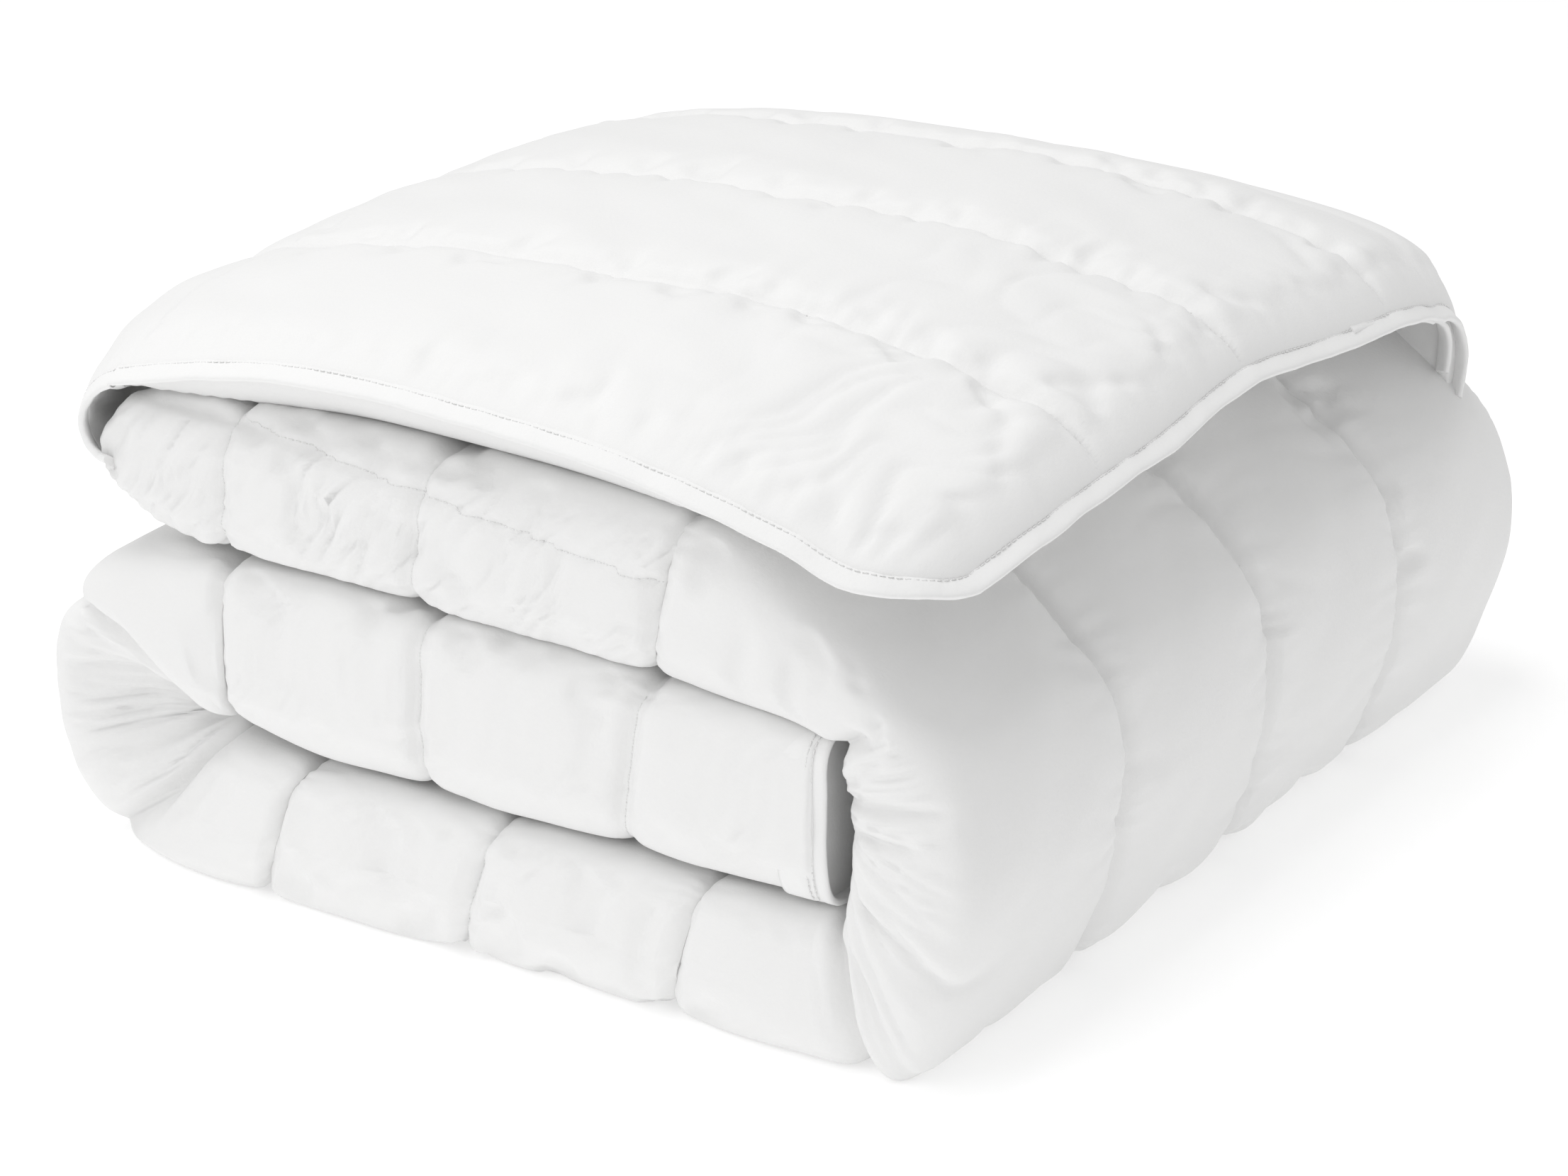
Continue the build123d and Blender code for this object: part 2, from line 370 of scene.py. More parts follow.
@dataclass(frozen=True)
class Filling:
    """Filling that swells a quilted piece, found by cloth simulation under pressure.

    Attributes:
        pressure: Pressure of the filling.
        slack: Share by which the cloth is cut larger than its pattern, so that it puckers.
        cap: The farthest that a point may move.
        frames: Frames of simulation.
        stride: Points of the piece for each simulated point.
    """

    pressure: float = 4.0
    slack: float = 0.05
    cap: float = 0.0028
    frames: int = 20
    stride: int = 4

    def swell(self, points: Array, hold: Array, wrap: bool = True) -> Array:
        """How far each point of a grid moves.

        Args:
            points: The grid, of shape (rows, columns, 3), with its faces outwards.
            hold: How firmly each point is held, from 0 to 1, as on seams and where layers press.
            wrap: True if the last column joins the first.

        Returns:
            The displacements, in the shape of the grid.
        """
        rows = np.unique(np.append(np.arange(0, points.shape[0], self.stride), points.shape[0] - 1))
        columns = np.arange(0, points.shape[1], self.stride)
        coarse = points[np.ix_(rows, columns)]
        held = hold[np.ix_(rows, columns)]
        moved = self.simulate(coarse, held, wrap) - coarse
        down, over = spread(points.shape[0], rows, False), spread(points.shape[1], columns, wrap)
        moved = (down @ moved.transpose(2, 0, 1) @ over.T).transpose(1, 2, 0)
        size = np.maximum(np.linalg.norm(moved, axis=2, keepdims=True), TINY)
        moved = moved / size * self.cap * np.tanh(size / self.cap)
        log.info("filling moves %d points by up to %.1f mm", size.size, 1000 * size.max())
        return moved * (1 - hold)[..., None]

    def simulate(self, coarse: Array, held: Array, wrap: bool) -> Array:
        """Run the cloth on a coarse grid.

        Args:
            coarse: The grid, of shape (rows, columns, 3).
            held: How firmly each of its points is held.
            wrap: True if the last column joins the first.

        Returns:
            The places where the points end, in the shape of the grid.
        """
        count, width = held.shape
        index = np.arange(count * width).reshape(count, width)
        following = np.roll(index, -1, axis=1) if wrap else index[:, 1:]
        start = index if wrap else index[:, :-1]
        faces = np.stack([start[:-1], start[1:], following[1:], following[:-1]], -1).reshape(-1, 4)
        mesh = bpy.data.meshes.new("filling_trial")
        mesh.from_pydata(coarse.reshape(-1, 3).tolist(), [], faces.tolist())
        piece = bpy.data.objects.new("filling_trial", mesh)
        scene = bpy.context.scene
        scene.collection.objects.link(piece)
        group = piece.vertex_groups.new(name="held")
        for number, weight in enumerate(held.reshape(-1)):
            group.add([number], float(weight), "REPLACE")
        cloth = piece.modifiers.new("Filling", "CLOTH")
        cloth.point_cache.frame_start, cloth.point_cache.frame_end = 1, self.frames
        settings = cloth.settings
        settings.quality = 6
        settings.mass = 0.1
        settings.tension_stiffness = settings.compression_stiffness = 12
        settings.shear_stiffness = 4
        settings.bending_stiffness = 1.5
        settings.use_pressure = True
        settings.uniform_pressure_force = self.pressure
        settings.shrink_min = -self.slack
        settings.vertex_group_mass = "held"
        settings.effector_weights.gravity = 0
        cloth.collision_settings.use_collision = False
        for number in range(1, self.frames + 1):
            scene.frame_set(number)
        settled = piece.evaluated_get(bpy.context.evaluated_depsgraph_get()).data
        ends = np.array([tuple(v.co) for v in settled.vertices]).reshape(coarse.shape)
        scene.frame_set(1)
        bpy.data.objects.remove(piece)
        bpy.data.meshes.remove(mesh)
        return ends


FILLING = Filling()


# Materials ------------------------------------------------------------------------------------------


class Shade(Enum):
    """The fabrics' colours, as linear red, green and blue."""

    COTTON = (0.845, 0.844, 0.840)
    TAPE = (0.86, 0.859, 0.855)
    THREAD = (0.84, 0.84, 0.835)
    LABEL = (0.84, 0.84, 0.835)


@dataclass(frozen=True)
class Cotton:
    """A fine woven white cotton with a soft bloom.

    Attributes:
        name: The material's name.
        shade: Its colour.
        roughness: Roughness of the yarn.
        sheen: Strength of the bloom seen at a glancing angle.
        thread_pitch: Distance between two yarns.
        pucker: Height of the small gathers beside a seam.
    """

    name: str
    shade: Shade
    roughness: float = 0.85
    sheen: float = 0.15
    thread_pitch: float = 0.0006
    pucker: float = 0.0012

    def build(self) -> bpy.types.Material:
        """Make the material, or find it if it is made already.

        Returns:
            The material.
        """
        found = bpy.data.materials.get(self.name)
        if found:
            return found
        material = bpy.data.materials.new(self.name)
        material.use_nodes = True
        tree = material.node_tree
        add, link = tree.nodes.new, tree.links.new
        shader = tree.nodes["Principled BSDF"]
        shader.inputs["Base Color"].default_value = (*self.shade.value, 1)
        shader.inputs["Roughness"].default_value = self.roughness
        shader.inputs["Sheen Weight"].default_value = self.sheen
        shader.inputs["Sheen Roughness"].default_value = 0.5
        shader.inputs["Specular IOR Level"].default_value = 0.25
        where = add("ShaderNodeTexCoord")

        tone = add("ShaderNodeTexNoise")
        tone.inputs["Scale"].default_value = 14
        tone.inputs["Detail"].default_value = 3
        link(where.outputs["Object"], tone.inputs["Vector"])
        tint = add("ShaderNodeMixRGB")
        tint.inputs["Color1"].default_value = (*[c * 0.975 for c in self.shade.value], 1)
        tint.inputs["Color2"].default_value = (*self.shade.value, 1)
        link(tone.outputs["Fac"], tint.inputs["Fac"])
        link(tint.outputs["Color"], shader.inputs["Base Color"])

        heights = []
        waves_per_metre = math.pi / (10 * self.thread_pitch)
        for direction in ("X", "Y"):
            yarn = add("ShaderNodeTexWave")
            yarn.bands_direction = direction
            yarn.inputs["Scale"].default_value = waves_per_metre
            yarn.inputs["Distortion"].default_value = 0.6
            yarn.inputs["Detail"].default_value = 1
            link(where.outputs["UV"], yarn.inputs["Vector"])
            heights.append(yarn.outputs["Fac"])
        weave = add("ShaderNodeMath")
        weave.operation = "MULTIPLY"
        link(heights[0], weave.inputs[0])
        link(heights[1], weave.inputs[1])

        slub = add("ShaderNodeTexNoise")
        slub.inputs["Scale"].default_value = 420
        slub.inputs["Detail"].default_value = 2
        link(where.outputs["Object"], slub.inputs["Vector"])

        gather = add("ShaderNodeTexNoise")
        gather.inputs["Scale"].default_value = 75
        gather.inputs["Detail"].default_value = 2
        gather.inputs["Roughness"].default_value = 0.45
        link(where.outputs["Object"], gather.inputs["Vector"])
        near_seam = add("ShaderNodeAttribute")
        near_seam.attribute_name = "seam"
        gathered = add("ShaderNodeMath")
        gathered.operation = "MULTIPLY"
        link(gather.outputs["Fac"], gathered.inputs[0])
        link(near_seam.outputs["Fac"], gathered.inputs[1])

        bumps = None
        for height, distance, strength in (
            (gathered.outputs[0], self.pucker, 0.5),
            (slub.outputs["Fac"], 0.0004, 0.5),
            (weave.outputs[0], 0.00006, 0.35),
        ):
            bump = add("ShaderNodeBump")
            bump.inputs["Strength"].default_value = strength
            bump.inputs["Distance"].default_value = distance
            link(height, bump.inputs["Height"])
            if bumps is not None:
                link(bumps, bump.inputs["Normal"])
            bumps = bump.outputs["Normal"]
        link(bumps, shader.inputs["Normal"])
        return material


COTTON = Cotton("Woven cotton cover", Shade.COTTON)
TAPE = Cotton("Cotton binding tape", Shade.TAPE, 0.8, 0.2, thread_pitch=0.0008, pucker=0.0004)
THREAD = Cotton("Stitching thread", Shade.THREAD, 0.6, 0.3, thread_pitch=0.0003, pucker=0.0001)
LABEL = Cotton("Care label satin", Shade.LABEL, 0.5, 0.3, thread_pitch=0.0004, pucker=0.0001)


# Pieces ---------------------------------------------------------------------------------------------


@dataclass(frozen=True)
class Crease:
    """A narrow fold across the front of a stretch.

    Attributes:
        knot: Where it crosses the strip, counted in control pairs.
        depth: How deep it is.
        width: How wide it is.
        span: The shares from inner, -1, to outer, 1, that it runs between.
        lean: How far it drifts along the strip from the inner to the outer line.
    """

    knot: float
    depth: float
    width: float
    span: tuple[float, float] = (-1.2, 1.2)
    lean: float = 0.0

    def offset(self, along: Array, knots: Array, share: Array) -> Array:
        """The offset that the fold gives each point.

        Args:
            along: Length along the strip.
            knots: The lengths at the control pairs.
            share: Share from inner, -1, to outer, 1.

        Returns:
            The offsets, below 0 in the fold.
        """
        place = np.interp(self.knot, np.arange(len(knots)), knots) + self.lean * share
        low, high = self.span
        window = smooth(low - 0.2, low + 0.2, share) * smooth(high + 0.2, high - 0.2, share)
        return -self.depth * np.exp(-((np.abs(along - place) / self.width) ** 1.4)) * window


@dataclass
class QuiltStretch:
    """A stretch of the folded strip, closed and padded, between an outer and an inner line.

    Attributes:
        name: The object's name.
        nodes: The CAD nodes that it stands for.
        pairs: Control pairs along the strip: (outer x, outer z, inner x, inner z), seen from the front.
        seams: Where the seams cross the strip, as shares of its length, ends included.
        channels: Positions along Y of the seams on its outer face, ends included, or none.
        bulge: How far the front and the back round out.
        groove: Depth of the seams on the rounded front and back.
        channel_groove: Depth of the seams on the outer face.
        creases: Folds across its front.
        recess: Hollows in its front: knot, depth, width, and the shares where it starts and is deepest.
        backs: How far back it reaches at its start and at its end.
        square: How square its inner and outer edges are at its start, then at its end: 1 is round.
        slant: Strength of the slanting wrinkles on its front.
        fan: Wrinkles that fan out over its front: the centre's x and z, their height, and the angles that
            they face and reach.
        topstitch: A line of stitches along its front: x and z where it starts, then where it ends.
        spacing: Distance between points along the strip.
        flat_spacing: Distance between points across the outer face.
        seed: Picks the wrinkles.
    """

    name: str
    nodes: tuple[str, ...]
    pairs: list[tuple[float, float, float, float]]
    seams: tuple[float, ...] = (0.0, 1.0)
    channels: tuple[float, ...] = ()
    bulge: float = 0.040
    groove: float = 0.0078
    channel_groove: float = 0.0125
    creases: tuple[Crease, ...] = ()
    recess: tuple[tuple[float, ...], ...] = ()
    backs: tuple[float, float] = (HALF_DEPTH, HALF_DEPTH)
    square: tuple[float, float, float, float] = (0.36, 1.4, 0.36, 1.4)
    slant: float = 0.0
    fan: tuple[float, ...] = ()
    topstitch: tuple[float, ...] = ()
    spacing: float = 0.0028
    flat_spacing: float = 0.006
    seed: int = 0

    ROUNDED_COUNT: ClassVar[int] = 45
    INNER_COUNT: ClassVar[int] = 38
    LINE_COUNT: ClassVar[int] = 400

    def section(self) -> Array:
        """The closed cross-section: rounded front, outer face, rounded back and inner face.

        Returns:
            Two columns. The first is the place, from -1 at the front to 1 at the back, and beyond 1
            either way on a rounded end. The second is the share, from inner, -1, to outer, 1.
        """
        turn = np.linspace(-math.pi / 2, math.pi / 2, self.ROUNDED_COUNT)
        swell = 1 + np.cos(turn) ** 0.42
        share = np.sin(turn)
        flat = np.linspace(-1, 1, max(12, int(2 * HALF_DEPTH / self.flat_spacing)))[1:-1]
        inner_flat = np.linspace(1, -1, self.INNER_COUNT + 2)[1:-1]
        return np.concatenate(
            [
                np.stack([-swell, share], 1),
                np.stack([flat, np.ones_like(flat)], 1),
                np.stack([swell[::-1], share[::-1]], 1),
                np.stack([inner_flat, -np.ones_like(inner_flat)], 1),
            ]
        )

    def surface(self) -> tuple[Array, Array, tuple[Array, Array], list[Array]]:
        """The quilted surface.

        Returns:
            The points, the seam field, the pair of fabric lengths, and the lines of its thread.
        """
        dense = spline(self.pairs, self.LINE_COUNT, measure=2)
        length = np.linalg.norm(np.diff(dense[:, :2], axis=0), axis=1).sum()
        count = int(length / self.spacing)
        line = spline(self.pairs, count, measure=2)
        nearest = np.array([np.argmin(np.linalg.norm(dense - pair, axis=1)) for pair in self.pairs])
        knots = length * nearest / (self.LINE_COUNT - 1)
        place, share = self.section().T
        along = np.linspace(0, 1, count)[:, None] * length
        back = np.interp(along, [0, 0.45 * length], self.backs)
        edge_front, edge_back = HALF_DEPTH - self.bulge, back - self.bulge
        y = np.where(place < 0, np.maximum(place, -1) * edge_front, np.minimum(place, 1) * edge_back)
        y = y + self.bulge * (np.maximum(place - 1, 0) - np.maximum(-place - 1, 0))
        middle = (line[:, :2] + line[:, 2:]) / 2
        reach = (line[:, :2] - line[:, 2:]) / 2
        power = np.linspace(self.square[:2], self.square[2:], count)
        reached = np.where(share < 0, -(np.abs(share) ** power[:, :1]), np.abs(share) ** power[:, 1:])
        points = np.zeros((count, len(share), 3))
        points[..., 0] = middle[:, :1] + reach[:, :1] * reached
        points[..., 1] = y
        points[..., 2] = middle[:, 1:] + reach[:, 1:] * reached
        rounded = np.broadcast_to(smooth(0.86, 1.12, np.abs(place))[None, :], y.shape)
        outside = smooth(0.2, 0.9, share)[None, :] * (1 - rounded)
        front = (place < 0)[None, :]
        for knot, deep, wide, high, low in self.recess:
            centre = np.interp(knot, np.arange(len(knots)), knots)
            spot = np.exp(-(((along - centre) / wide) ** 2))
            points[..., 1] += deep * spot * front * rounded * smooth(high, low, share)[None, :]
        normals = grid_normals(points, True)
        probe = (count // 2, len(share) // 3)
        if normals[probe] @ (points[probe] - points.mean((0, 1))) < 0:
            normals = -normals
        around = steps_along(np.concatenate([points, points[:, :1]], 1), 1)[:, :-1]
        lengths = (np.broadcast_to(along, y.shape), around)

        gap, half = seam_distance(along + 0 * y, np.asarray(self.seams) * length)
        gap = np.abs(gap + 0.0012 * gradient_noise(around / 0.02, along * 0 + self.seed, self.seed + 5))
        offset = -self.groove * dip(gap, half) * (0.35 + 0.65 * rounded)
        fine = self.gathers(around, lengths[0], gap, 0.0036, self.seed) * (0.25 + 0.75 * rounded)
        seam_field = np.exp(-gap / SEAM_FADE) * (0.3 + 0.7 * rounded)
        hold = np.maximum(smooth(0.008, 0.003, gap), smooth(-0.3, -0.7, share)[None, :])
        for crease in self.creases:
            offset = offset + crease.offset(along, knots, share[None, :]) * rounded * front
        if self.topstitch:
            below = points[..., 2] - np.interp(points[..., 0], self.topstitch[::2], self.topstitch[1::2])
            offset = offset - 0.0022 * np.exp(-((below / 0.003) ** 2)) * front * rounded
            small = self.gathers(lengths[0], around, np.abs(below), 0.0030, self.seed + 21)
            fine = fine + 0.5 * small * front * rounded
        if self.channels:
            across = y + 0.002 * gradient_noise(along / 0.05, y * 0 + 1.7, self.seed + 9)
            gap_y, half_y = seam_distance(across, self.channels)
            offset = offset - self.channel_groove * dip(gap_y, half_y) * outside
            fine = fine + self.gathers(lengths[0], y, gap_y, 0.0034, self.seed + 7) * outside
            seam_field = np.maximum(seam_field, np.exp(-gap_y / SEAM_FADE) * outside)
            hold = np.maximum(hold, smooth(0.008, 0.003, gap_y) * outside)
        hold[[0, -1]] = 1
        points = points + normals * offset[..., None]
        if grid_normals(points, True)[probe] @ normals[probe] < 0:
            moved = FILLING.swell(points[:, ::-1], hold[:, ::-1])[:, ::-1]
        else:
            moved = FILLING.swell(points, hold)
        fine = fine + self.soft_wrinkles(points, rounded * smooth(0, 0.45, 1 - np.abs(share))[None, :])
        points = points + moved + normals * fine[..., None]
        points[..., 2] = np.maximum(points[..., 2], 0)
        lift = points + normals * 0.0001
        rows = self.seam_rows(lift, gap, along[:, 0], length, share)
        if self.topstitch:
            rows.append(self.front_row(lift, place))
        if self.channels:
            rows += self.channel_rows(lift, across, outside)
        return points, seam_field, lengths, rows

    def seam_rows(
        self, lift: Array, gap: Array, along: Array, length: float, share: Array
    ) -> list[Array]:
        """Lines for the thread of each seam that crosses the strip, at the front and at the back.

        Args:
            lift: The points, lifted a little off the cloth.
            gap: Distance of each point from the nearest seam.
            along: Length along the strip, one for each row of points.
            length: The strip's whole length.
            share: Share from inner to outer, one for each column of points.

        Returns:
            The lines.
        """
        back_end = len(share) - self.INNER_COUNT
        ends = ((0, self.ROUNDED_COUNT), (back_end - self.ROUNDED_COUNT, back_end))
        rows = []
        for seam in (s for s in self.seams if 0.02 < s < 0.98):
            near = np.flatnonzero(np.abs(along - seam * length) < 0.010)
            for start, stop in ends:
                columns = [c for c in range(start, stop) if abs(share[c]) < 0.93]
                rows.append(np.array([lift[near[np.argmin(gap[near, c])], c] for c in columns]))
        return rows

    def front_row(self, lift: Array, place: Array) -> Array:
        """The line for the thread of the topstitch along the front.

        Args:
            lift: The points, lifted a little off the cloth.
            place: Place across, one for each column of points.

        Returns:
            The line.
        """
        start_x, _, end_x, _ = self.topstitch
        columns = np.flatnonzero(place < -1)
        wanted = np.interp(lift[:, columns, 0], self.topstitch[::2], self.topstitch[1::2])
        nearest = columns[np.argmin(np.abs(lift[:, columns, 2] - wanted), axis=1)]
        line = lift[np.arange(len(lift)), nearest]
        return line[(line[:, 0] > start_x) & (line[:, 0] < end_x)]

    def channel_rows(self, lift: Array, across: Array, outside: Array) -> list[Array]:
        """Lines for the thread of the channels on the outer face, left out where layers press on it.

        Args:
            lift: The points, lifted a little off the cloth.
            across: Position of each point across the channels.
            outside: How fully each point is on the outer face.

        Returns:
            The lines.
        """
        rows = []
        face = np.flatnonzero(outside.max(0) > 0.5)
        for channel in self.channels[1:-1]:
            nearest = face[np.argmin(np.abs(across[:, face] - channel), axis=1)]
            line = lift[np.arange(len(lift)), nearest]
            rows.append(line[(line[:, 2] > 0.012) & (line[:, 2] < 0.255)])
        return [row for row in rows if len(row) > 3]

    def soft_wrinkles(self, points: Array, rounded: Array) -> Array:
        """Broad soft undulation, and the slanting and fanned wrinkles of the front.

        Args:
            points: The surface before its wrinkles.
            rounded: How far the front's wrinkles show at each point.

        Returns:
            The offset at each point.
        """
        x, y, z = np.moveaxis(points, 2, 0)
        soft = 0.0013 * gradient_noise(x / 0.055 + y / 0.08, z / 0.05 - y / 0.07, self.seed + 11)
        if self.fan:
            centre_x, centre_z, height, facing, reach = self.fan
            turn = np.arctan2(z - centre_z, x - centre_x)
            away = np.abs((turn - facing + math.pi) % (2 * math.pi) - math.pi)
            height = height * smooth(reach + 0.2, reach - 0.2, away)
            radius = np.hypot(z - centre_z, x - centre_x)
            bent = turn / 0.13 + 0.3 * gradient_noise(radius / 0.05, turn, self.seed + 15)
            rays = gradient_noise(bent, radius / 0.09, self.seed + 16)
            soft = soft + height * pinch(rays) * rounded * smooth(0.01, 0.03, radius)
        if self.slant:
            bend = 0.35 * gradient_noise(x / 0.05, z / 0.04, self.seed + 13)
            run = (x - 0.9 * z) / 0.013 + bend
            stretch = pinch(gradient_noise(run, (z + 0.7 * x) / 0.055, self.seed + 12))
            gate = 0.45 + 0.55 * gradient_noise(x / 0.08, z / 0.07, self.seed + 14)
            soft = soft + self.slant * stretch * np.clip(gate, 0, 1) * rounded
        return soft

    @staticmethod
    def gathers(run: Array, across: Array, gap: Array, height: float, seed: int) -> Array:
        """Small folds that cross a seam and die away from it.

        Args:
            run: Length along the seam at each point.
            across: Length across it.
            gap: Distance from the seam.
            height: Height of the folds at the seam.
            seed: Picks the folds.

        Returns:
            The offset at each point.
        """
        swayed = run + 0.004 * gradient_noise(across / 0.03, run / 0.06, seed + 3)
        fine = pinch(gradient_noise(swayed / 0.011, across / 0.05, seed + 1)) * np.exp(-gap / 0.014)
        broad = pinch(gradient_noise(swayed / 0.027, across / 0.08, seed + 2)) * np.exp(-gap / 0.032)
        strength = 0.35 + 0.9 * np.clip(gradient_noise(run / 0.05, across / 0.2, seed + 4) + 0.35, 0, 1)
        return height * (0.75 * fine + 0.9 * broad) * strength * smooth(-0.002, 0.004, gap)

    def build(self) -> list[Piece]:
        """Make the quilted piece and its thread, riding on the stack.

        Returns:
            The two objects.
        """
        points, seam_field, lengths, rows = self.surface()
        piece = grid_object(self.name, points, True, seam_field, lengths)
        piece.data.materials.append(COTTON.build())
        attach(piece, STACK_BODY)
        cover, fill, stitching = self.nodes
        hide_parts(cover, fill)
        thread = Stitches(self.name.replace("quilt", "thread"), (stitching,)).build(rows)
        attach(thread, STACK_BODY)
        return [piece, thread]


@dataclass
class Tape:
    """A flat tape sewn along an edge.

    Attributes:
        name: The object's name.
        nodes: The CAD nodes that it stands for.
        width: Its width.
        thickness: Its thickness.
        seed: Picks its waviness.
    """

    name: str
    nodes: tuple[str, ...]
    width: float = 0.0135
    thickness: float = 0.0046
    seed: int = 0

    def build(self, path: Array, wide: Array, thick: Array) -> Piece:
        """Sweep the tape's rounded section along a path.

        Args:
            path: Points along the middle of the tape.
            wide: Unit vectors across the tape at each point.
            thick: Unit vectors through the tape at each point.

        Returns:
            The object.
        """
        turn = np.linspace(0, 2 * math.pi, 22, endpoint=False)
        flat = np.sign(np.cos(turn)) * np.abs(np.cos(turn)) ** 0.55
        high = np.sign(np.sin(turn)) * np.abs(np.sin(turn)) ** 0.7
        run = walked(path)
        sway = 0.0009 * gradient_noise(run / 0.035, run * 0 + 0.4, self.seed)
        lift = 0.0007 * gradient_noise(run / 0.021, run * 0 + 0.7, self.seed + 1)
        breadth = self.width / 2 * (1 + 0.07 * gradient_noise(run / 0.05, run * 0 + 0.2, self.seed + 2))
        centre = path + wide * sway[:, None] + thick * lift[:, None]
        points = (
            centre[:, None]
            + wide[:, None] * (breadth[:, None] * flat)[..., None]
            + thick[:, None] * (self.thickness / 2 * high)[None, :, None]
        )
        pucker = 0.0003 * gradient_noise(run[:, None] / 0.006, flat[None, :] * 1.5, self.seed + 3)
        points = points + thick[:, None] * (pucker * np.sign(high))[..., None]
        around = np.broadcast_to(turn * self.width / 2, points.shape[:2])
        lengths = (np.broadcast_to(run[:, None], points.shape[:2]), around)
        piece = grid_object(self.name, points, True, np.full(points.shape[:2], 0.5), lengths)
        piece.data.materials.append(TAPE.build())
        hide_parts(*self.nodes)
        return piece


@dataclass
class Stitches:
    """A row of separate stitches.

    Attributes:
        name: The object's name.
        nodes: The CAD nodes that they stand for.
        pitch: Distance between two stitches.
        length: Length of a stitch.
        radius: Radius of the thread.
    """

    name: str
    nodes: tuple[str, ...] = ()
    pitch: float = 0.0042
    length: float = 0.0029
    radius: float = 0.00035

    def build(self, rows: list[Array]) -> Piece:
        """Make the stitches along rows of points.

        Args:
            rows: Lines to sew along, each an array of points.

        Returns:
            The object.
        """
        made = bmesh.new()
        for row in rows:
            run = walked(row)
            for start in np.arange(self.pitch / 2, run[-1] - self.length, self.pitch):
                spots = (start, start + self.length)
                ends = [Vector([np.interp(d, run, row[:, i]) for i in range(3)]) for d in spots]
                self.stitch(made, *ends)
        for face in made.faces:
            face.smooth = True
        piece = linked(self.name, made)
        piece.data.materials.append(THREAD.build())
        if self.nodes:
            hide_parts(*self.nodes)
        return piece

    def stitch(self, made: bmesh.types.BMesh, start: Vector, end: Vector) -> None:
        """Add one stitch, a short six-sided rod.

        Args:
            made: The bmesh that takes it.
            start: Where it comes out of the cloth.
            end: Where it goes in.
        """
        axis = end - start
        turn = axis.to_track_quat("Z", "Y").to_matrix().to_4x4()
        turn.translation = (start + end) / 2
        bmesh.ops.create_cone(
            made,
            cap_ends=True,
            segments=6,
            radius1=self.radius,
            radius2=self.radius,
            depth=axis.length,
            matrix=turn,
        )


@dataclass
class HemCuff:
    """The hem that ends the inner layer, an open ring of doubled cloth with two rows of stitches.

    Attributes:
        start: Where it starts along X.
        end: Its free edge.
        middle: Height of its middle.
        reach: Half its height.
        thickness: Thickness of the doubled cloth.
        rows: Positions of its two rows of stitches along X.
        bulge: How far its front and back round out.
        steps: Rings from its start to its free edge.
    """

    start: float = 0.194
    end: float = 0.2205
    middle: float = 0.13675
    reach: float = 0.0492
    thickness: float = 0.0028
    rows: tuple[float, float] = (0.2110, 0.2140)
    bulge: float = 0.040
    steps: int = 14

    def ring(self, x: float, section: Array, inset: float) -> Array:
        """A ring of points round the hem.

        Args:
            x: Where it is along X.
            section: The cross-section, as columns of place and share.
            inset: How far it lies inside the outer face.

        Returns:
            The points.
        """
        place, share = section.T
        share = np.where(share < 0, -(np.abs(share) ** 0.75), np.abs(share) ** 0.36)
        y = np.clip(place, -1, 1) * (HALF_DEPTH - self.bulge - inset)
        y = y + (self.bulge + 0.0015) * (np.maximum(place - 1, 0) - np.maximum(-place - 1, 0))
        drawn_in = 0.004 * smooth(0.205, self.end, x) * (1 - np.abs(share)) ** 0.5
        y = y + drawn_in * (place < -1)
        z = self.middle + (self.reach - inset) * share
        wave = 0.0010 * gradient_noise(y / 0.04 + share, z / 0.03, 7) * smooth(self.start, self.end, x)
        return np.stack([x + wave, y, z], -1)

    def build(self, section: Array) -> list[Piece]:
        """Make the hem and its stitches.

        Args:
            section: The cross-section of the inner layer.

        Returns:
            The two objects.
        """
        steps = np.linspace(self.start, self.end, self.steps)
        lip = [(self.end + 0.0006, self.thickness * share) for share in (0.3, 0.7)]
        walk = [(x, 0.0) for x in steps] + lip + [(x, self.thickness) for x in steps[::-1]]
        rings = [self.ring(x, section, inset) for x, inset in [*walk, walk[0]]]
        points = np.stack(rings)
        outside = points[: self.steps, :, 0]
        sink = np.zeros(points.shape[:2])
        sink[: self.steps] = -0.0007 * sum(np.exp(-(((outside - x) / 0.0012) ** 2)) for x in self.rows)
        sink[-1] = sink[0]
        centre = np.array([0, 0, self.middle])
        away = points - centre
        away[..., 0] = 0
        away[..., 1] *= np.abs(away[..., 1]) > HALF_DEPTH - 0.05
        points = points + unit(away) * sink[..., None]
        lengths = (steps_along(points, 0), steps_along(points, 1))
        no_seams = np.zeros(points.shape[:2])
        piece = grid_object("inner_layer_hem_cuff", points, True, no_seams, lengths)
        piece.data.materials.append(TAPE.build())
        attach(piece, STACK_BODY)
        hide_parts("inner_layer_hem")
        front = (np.abs(section[:, 1]) < 0.9) & (section[:, 0] < -1)
        rows = []
        for x in self.rows:
            row = self.ring(x, section, 0.0)[front]
            row[:, 1] -= 0.0003
            rows.append(row)
        thread = Stitches("inner_layer_hem_thread").build(rows)
        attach(thread, STACK_BODY)
        return [piece, thread]


